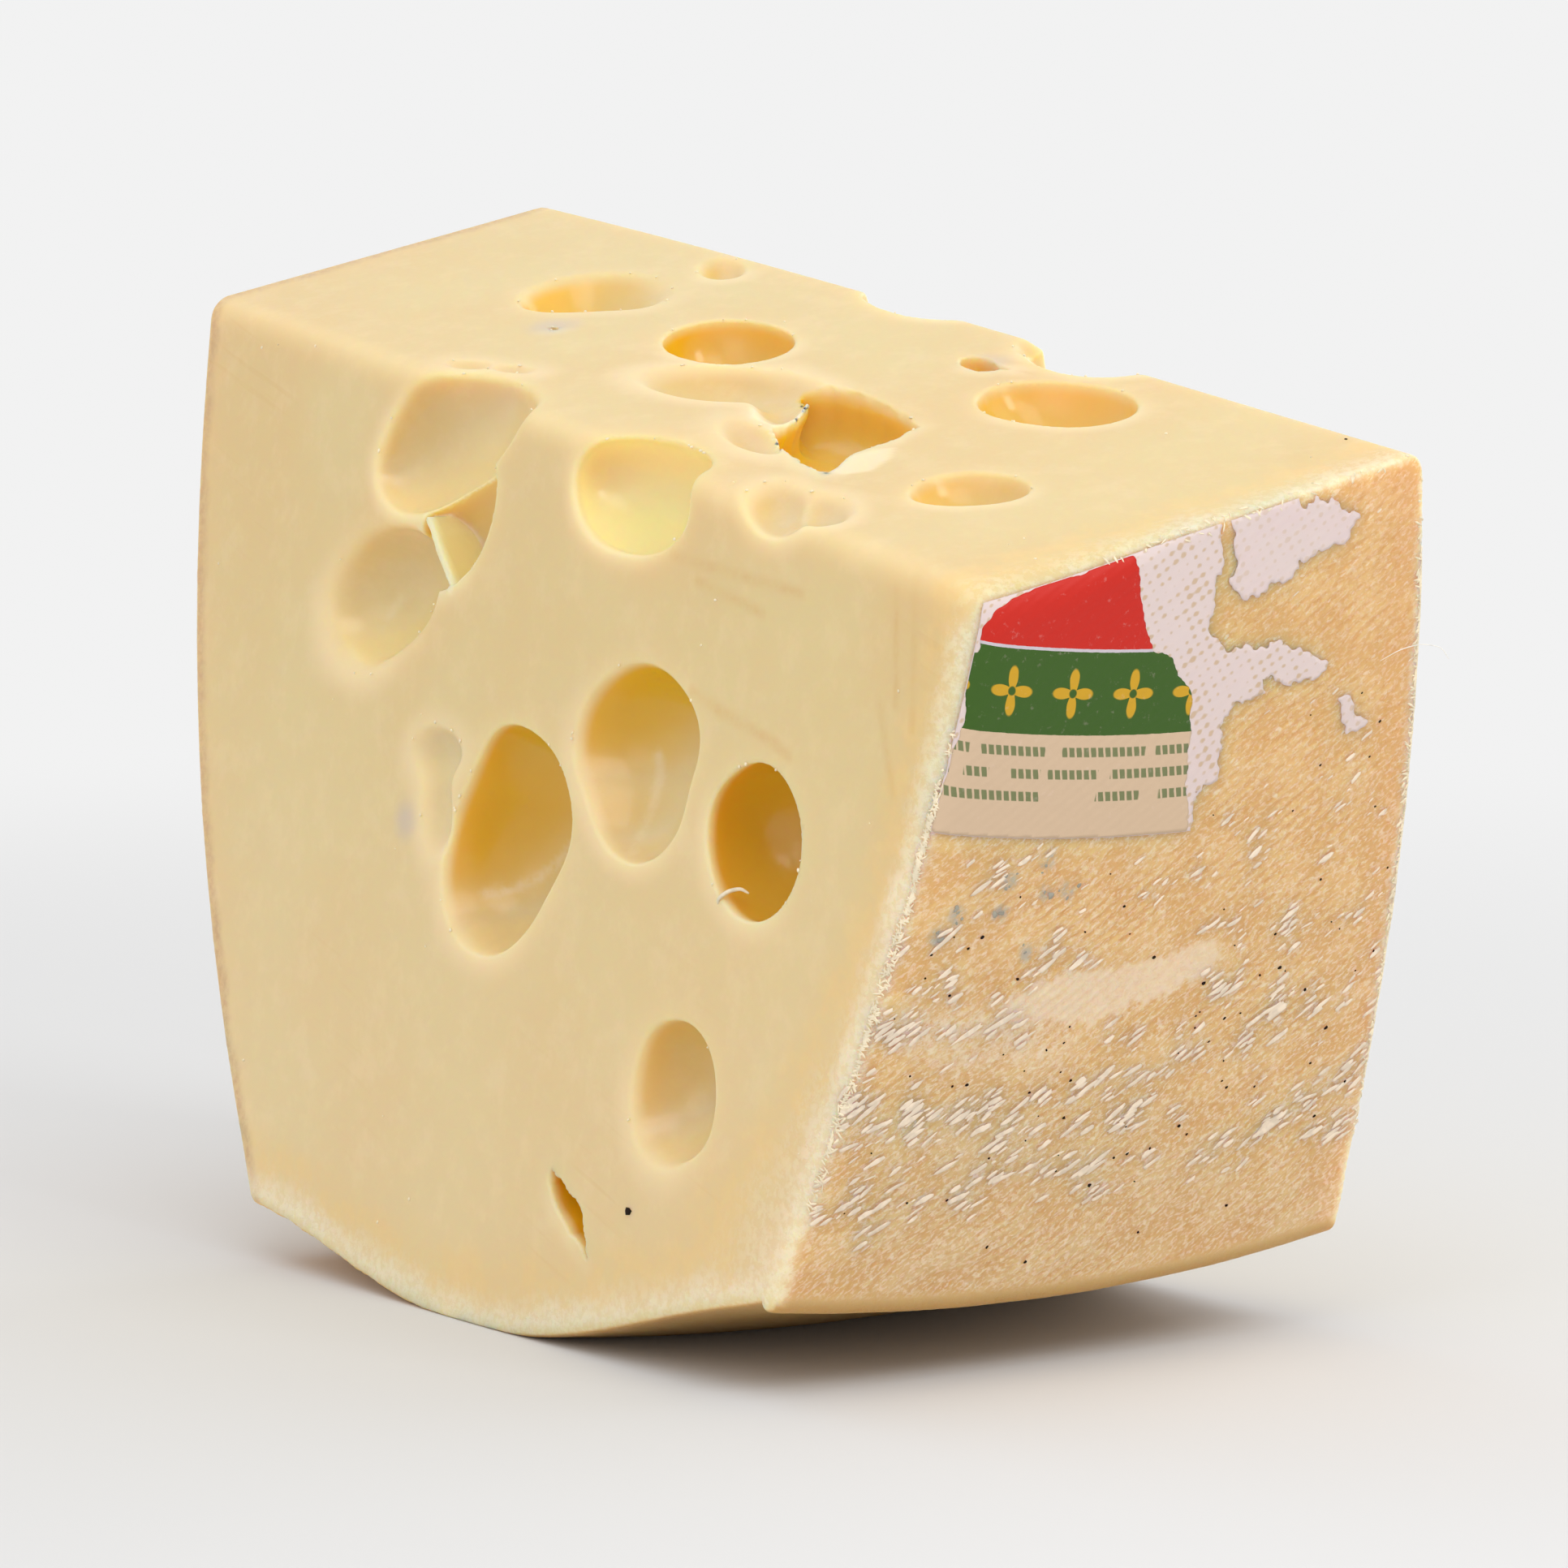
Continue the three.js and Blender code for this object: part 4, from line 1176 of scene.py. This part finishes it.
def cheese_material():
    s = Shader(
        "cheese", Subsurface_Weight=1, Subsurface_Radius=(1, 0.6, 0.24), Subsurface_Scale=0.0075,
        IOR=1.42, Coat_Roughness=0.17,
    )
    place = s.place()
    rind, hollow, relief, lip = map(s.value, ("rind", "hollow", "relief", "lip"))
    to_right, to_left, to_heel, to_front, to_top, to_back = (s.value("to_" + side) for side in RINDS + CUTS)
    ribs = s.vector(s.value("along") * 0.42, s.value("across"))
    x, z = (s.node("SeparateXYZ", {}, [place], n) for n in (0, 2))

    cloudy = s.noise(place, 16, 3)
    mottled = s.noise(place, 150, 4, 0.65)
    fine = s.noise(place, 900, 3, 0.6)
    ragged = s.noise(place, 120, 3, 0.6)
    speckle = s.noise(place, 700, 3, 0.7)

    # The paste with faint strokes of the knife and its eyes, with painted shade and light in the eyes, a
    # painted glow on their rims and a painted highlight along the cut edges.
    stroke = s.noise(s.vector(x * 24 - z * 8, z * 440 + x * 145), 1)
    stroke = stroke.between(0.6, 0.72) * cloudy.between(0.5, 0.65) * hollow.between(0.6, 0.1) * 0.15
    inside, gold = hollow.between(0.2, 2.2), s.value("gold")
    # A painted highlight along the edges between the cuts.
    edge = to_front.at_least(to_top).between(0.5, 5, 1, 0)
    # Near the rind the cut faces turn yellower, then mealy and pale.
    reach = (to_right * to_heel.between(0, 60, 0.35, 1)).at_most(to_heel) + (ragged - 0.5) * 9
    yellow = reach.between(2, 6) * reach.between(8, 15, 1, 0)
    mealy = reach.between(1, 9, 1, 0) * (speckle.between(0.42, 0.58) * 0.8 + 0.2)
    left = (to_left + (ragged - 0.5) * 4).between(1.5, 5, 1, 0)
    paste = s.layered(
        s.mix(cloudy.between(0.35, 0.65), PASTE, PASTE_WARM),
        # Paler in random mottles, and paler towards the heel as painted fill light from the floor.
        (mottled.between(0.45, 0.7) * 0.25 + to_heel.between(10, 105, 0.4, 0), PALE_TONE_AND_GLOW),
        (stroke.at_least(s.value("stroke") * mottled.between(0.4, 0.65, 0.15, 0.5)), STROKE),
        # Painted shade and light in the eyes: deep gold on walls that face away from the light, pale on lit
        # walls.
        (gold * inside, s.mix(to_top.between(9, 18), TOP_SHADE_GOLD, EYE_SHADE_GOLD)),
        ((0 - gold) * inside, EYE_LIT_PALE),
        # Painted glow on the eyes' rims, and a painted highlight along the edges of the cuts.
        ((s.value("rim") * 0.85).at_least(edge * 0.3), PALE_TONE_AND_GLOW),
        (s.value("film") * 0.75, SKIN),
        (s.value("bruise") * 0.6, GREY),
        # Painted sheens: whitish streaks of reflection on the walls of some eyes.
        (s.value("sheen") * mottled.between(0.3, 0.55) * 0.5, MEALY_AND_SHEEN),
        (yellow * (mottled.between(0.4, 0.6) * 0.3 + 0.15), MARGIN),
        (mealy * 0.75, MEALY_AND_SHEEN),
        (left * (speckle.between(0.35, 0.65) * 0.4 + 0.45), LEFT_MARGIN),
    )

    # The rind: streaks and pale grains along its ribs, darker in the grooves.
    streaks, grains = s.noise(ribs, 0.9, 4, 0.65), s.noise(ribs, 2.1, 3, 0.6)
    flecks, patches = s.noise(ribs, 1.1, 3, 0.6), s.noise(place, 14)
    frosted = to_heel.between(20, 115, 1, 0.5)
    skin = s.layered(
        s.mix(patches.between(0.35, 0.65) * 0.6 + frosted * 0.3, RIND, RIND_PALE),
        (to_front.between(4, 22, 0.4, 0), RIND_WORN),
        (streaks.between(0.48, 0.70) * to_front.between(4, 20, 0.25, 0.5), RIND_GROOVE),
        (relief.between(0.1, 0.02) * 0.35, RIND_GROOVE),
        (grains.between(0.50, 0.62) * frosted * 0.65, FROST),
        (speckle.between(0.52, 0.66) * frosted * 0.5, FROST),
        (flecks.between(0.60, 0.68) * 0.6, FROST),
        (s.value("mottle") * speckle.between(0.36, 0.56) * 0.5, FROST),
        (s.value("bloom") * (speckle.between(0.3, 0.6) * 0.3 + 0.65), SMEARED),
        (s.value("mould") * speckle.between(0.35, 0.6, 0.1, 0.8), MOULD),
        # The heel's underside: its own tone, brightened by painted bounce light.
        (to_heel.between(0.8, 0.2), HEEL_TONE_AND_GLOW),
        (lip, s.mix(to_heel.between(0.2, 3), LIP_BROWN, LIP_PALE)),
    )

    # The crease between the two is white and fibrous.
    cut = to_front.at_most(to_top).at_most(to_back)
    crease = (to_right.at_most(to_heel) * 0.5).at_least(cut * 1.2)
    crease = crease + (ragged - 0.5) * 3 + to_top.between(2, 5, 1.6, 0)
    crease = crease.between(0.3, 3.6, 1, 0) * (speckle.between(0.35, 0.6) * 0.5 + 0.5)
    crease = crease * to_heel.between(0.5, 2.5) * 0.85

    s.feed("Base Color", s.mix(crease, s.mix(rind, paste, skin), CREASE))
    s.feed("Roughness", rind * 0.12 + fine * 0.14 - inside * 0.12 + 0.38)
    s.feed("Coat Weight", inside * 0.5 + 0.1)
    height = fine * (rind * 0.8 + 0.2) + (mealy + crease) * speckle * 2 + mottled * 0.6
    s.feed("Normal", s.bump(height, 0.35, 0.0002))
    return s.owner


PAPER_WHITE = colour(236, 211, 204)
PAPER_BEIGE = colour(208, 172, 132)
CREAM = colour(214, 186, 155)
GREEN = colour(56, 92, 20)
RED = colour(202, 32, 14)
LINE = colour(206, 196, 204)
YELLOW = colour(208, 160, 28)
PINK = colour(238, 206, 204)
INK = colour(92, 112, 62)
DOT_PITCH = 1.7  # between the beige dots along a rib
ROSETTE_DEPTH, ROSETTE_PITCH, ROSETTE_START = 94.6, 11.0, 12.0
BAR_DEPTHS, BAR_PITCH = (86, 82.7, 79.4), 1.32


def paper_material(name, dots, pink):
    """Paper with rows of small beige dots where the rind's ribs show through it."""
    s = Shader(
        name, Roughness=0.75, Subsurface_Weight=0.3, Subsurface_Radius=(1, 0.7, 0.5), Subsurface_Scale=0.001
    )
    tint, thin = s.noise(s.place(), 90, 3, 0.6), s.noise(s.place(), 260, 3, 0.6)
    rows = (s.value("across") * (2 * math.pi / WEAVE_PITCH)).wave()
    broken = (s.value("along") * (2 * math.pi / DOT_PITCH)).wave()
    beige = (rows * 0.5 + broken * 0.35 + (thin - 0.5) * 3).between(0.3, 0.9)
    base = s.mix(tint.between(0.4, 0.7) * pink, PAPER_WHITE, PINK)
    s.feed("Base Color", s.mix(beige * dots, base, PAPER_BEIGE))
    return s.owner


def print_material():
    """Fields of colour in bands round the wheel, rosettes on the green and rows of plain bars."""
    s = Shader("label_print", Roughness=0.5, IOR=1.4, Coat_Roughness=0.3)
    y, depth = s.value("y"), s.value("depth")
    above = depth + (s.noise(s.place(), 900, 2, 0.6) - 0.5) * 0.12

    across = y.math("WRAP", y + ROSETTE_START, ROSETTE_PITCH / 2, -ROSETTE_PITCH / 2)
    up = depth - ROSETTE_DEPTH
    near = (across * across + up * up) + 0.0001
    petals = (across * across - up * up).size() / near
    reach = near.math("SQRT", near) / (petals * petals * 2.8 + 0.8)

    text = 0
    for number, middle in enumerate(BAR_DEPTHS):
        row = (depth - middle).size().between(0.62, 0.78, 1, 0)
        slots = (y * (2 * math.pi / BAR_PITCH) + depth * 1.2 + number).wave()
        words = s.noise(s.vector(y * 0.22, number * 3.7), 1, 0)
        text = row * slots.between(-0.75, -0.45) * words.between(0.40, 0.42) + text

    worn = s.noise(s.place(), 700, 3, 0.7)
    s.feed("Base Color", s.layered(
        s.mix(above > GREEN_DEPTH, CREAM, GREEN),
        (above > RED_DEPTH, RED),
        ((above > RED_DEPTH - 0.1) * (above < RED_DEPTH + 0.35), LINE),
        (reach.between(0.94, 1.06, 1, 0), YELLOW),
        (near.between(0.3, 0.6, 1, 0), GREEN),
        (text * (above < GREEN_DEPTH - 0.8) * 0.85, INK),
        (worn.between(0.6, 0.75) * 0.15, PAPER_WHITE),
    ))
    s.feed("Normal", s.bump(worn, 0.25, 0.0002))
    return s.owner


def plain_material(name, tint, roughness):
    s = Shader(name, Roughness=roughness, Specular_IOR_Level=0.2)
    darker = tuple(part * 0.86 for part in tint[:3]) + (1.0,)
    s.feed("Base Color", s.mix(s.noise(s.place(), 500).between(0.4, 0.6), tint, darker))
    return s.owner


# --- Floor, lights, world and camera

FLOOR_SIZE = 12.0
BACKDROP = 0.887  # brightness of the far floor and the low sky, which meet unseen
FLOOR_ALBEDO = 0.73
FLOOR_FADE = (0.3, 1.0)  # the floor turns into the backdrop between these distances
BLACK = (0, 0, 0, 1)
SKY_LOW, SKY_HIGH = 0.72, 0.77  # brightness near the horizon and overhead
LIGHT_HEIGHT, LIGHT_DISTANCE = 0.08, 1.6  # of the place that the lights look at, and from there
LIGHTS = [  # azimuth and elevation in degrees, size in metres and power in watts
    ("key", 97, 38, 0.5, 4.2), ("front_panel", 55, 50, 1.0, 5.0), ("right_panel", 145, 50, 1.0, 2.0),
    ("back_panel", 190, 20, 1.0, 5.0), ("left_panel", -80, 50, 1.0, 1.0), ("low_panel", 10, 20, 1.0, 2.1),
]
IMAGE_PIXELS, FOCAL_PIXELS, SENSOR = 1932, 7500.0, 36.0
CAMERA_PLACE = (0.811105, -0.559009, 0.178812)
CAMERA_AZIMUTH, CAMERA_DROP = 55.394, 5.5  # in degrees


def grey(value):
    return (value, value, value, 1)


def aimed(azimuth, elevation):
    """A turn that looks from a direction, in degrees."""
    turn, lift = math.radians(azimuth), math.radians(elevation)
    return Matrix.Rotation(turn, 4, "Z") @ Matrix.Rotation(math.pi / 2 - lift, 4, "X")


def make_floor():
    corners = array([(-1, -1, 0), (1, -1, 0), (1, 1, 0), (-1, 1, 0)]) * FLOOR_SIZE
    floor = mesh_object("floor", corners, [(0, 1, 2, 3)], smooth=False)
    s = Shader("floor", Roughness=0.8, Specular_IOR_Level=0, Emission_Strength=1)
    far = s.node("VectorMath", {"operation": "LENGTH"}, [s.place()], "Value").between(*FLOOR_FADE)
    s.feed("Base Color", s.mix(far, grey(FLOOR_ALBEDO), BLACK))
    s.feed("Emission Color", s.mix(far, BLACK, grey(BACKDROP)))
    floor.data.materials.append(s.owner)


def make_light(name, azimuth, elevation, size, power):
    """A square panel that looks at the block from a direction; azimuth is turned as the camera's."""
    lamp = bpy.data.lights.new(name, "AREA")
    lamp.shape, lamp.size, lamp.energy = "SQUARE", size, power
    middle, back = Matrix.Translation((0, 0, LIGHT_HEIGHT)), Matrix.Translation((0, 0, LIGHT_DISTANCE))
    shown(name, lamp).matrix_world = middle @ aimed(azimuth, elevation) @ back


def make_world():
    """A sky brighter overhead than near the horizon, and plain where it shows behind the block."""
    s = Shader("studio", world=True, Color=(1, 1, 1, 1))
    rise = s.node("SeparateXYZ", {}, [s.node("TexCoord", {}, (), "Generated")], "Z")
    ends = {"From Min": 0.22, "From Max": 0.4, "To Min": SKY_LOW, "To Max": SKY_HIGH}
    sky = s.node("MapRange", {}, {"Value": rise, **ends})
    seen = s.node("LightPath", {}, (), "Is Camera Ray")
    s.feed("Strength", s.node("Mix", {}, {"Factor": seen, "A": sky, "B": BACKDROP}))
    bpy.context.scene.world = s.owner


def make_camera():
    lens = bpy.data.cameras.new("camera")
    lens.sensor_width, lens.lens = SENSOR, SENSOR * FOCAL_PIXELS / IMAGE_PIXELS
    lens.clip_start, lens.clip_end = 0.05, 60
    camera = shown("camera", lens)
    camera.matrix_world = Matrix.Translation(CAMERA_PLACE) @ aimed(CAMERA_AZIMUTH, CAMERA_DROP)
    bpy.context.scene.camera = camera


# --- Assembly

bpy.context.scene.view_settings.view_transform = "Standard"
make_camera()
make_world()
make_floor()
for light in LIGHTS:
    make_light(*light)

cheese = make_cheese()
cheese.data.materials.append(cheese_material())
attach(cheese, "root")
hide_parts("cheese")

paper = sheet("label_paper", PAPER_EDGE, (-60, 68), (30, 128), -0.1, 0.13)
paper.data.materials.append(paper_material("label_paper", 0.75, 0.2))
ink = sheet("label_print", PRINT_EDGE, (-60, 68), (6, 120), 0.0, 0.07)
ink.data.materials.append(print_material())
scrap = sheet("scrap_paper", SCRAP_EDGE, (-2, 100), (34, 130), -0.1, 0.13)
scrap.data.materials.append(paper_material("scrap_paper", 0.35, 0.6))
remnant = sheet("paper_remnant", REMNANT_EDGE, (24, 82), (40, 96), -0.1, 0.13)
remnant.data.materials.append(paper_material("remnant_paper", 0.5, 0.1))
for thing in (paper, ink, remnant):
    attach(thing, "root")
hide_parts("label")
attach(scrap, "root")
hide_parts("label_scrap")

for thing, tint, roughness in (
    (make_flakes(), (248, 230, 206), 0.6),
    (make_specks(), (34, 20, 12), 0.8),
    (make_crumbs(), (250, 236, 206), 0.6),
    (make_mould(), (168, 164, 150), 0.8),
    (strand("eye_curl", CURL, 0.35), (248, 236, 210), 0.5),
    (strand("label_fibre", FIBRE, 0.08), (250, 246, 236), 0.6),
):
    thing.data.materials.append(plain_material(thing.name, colour(*tint), roughness))
    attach(thing, "root")
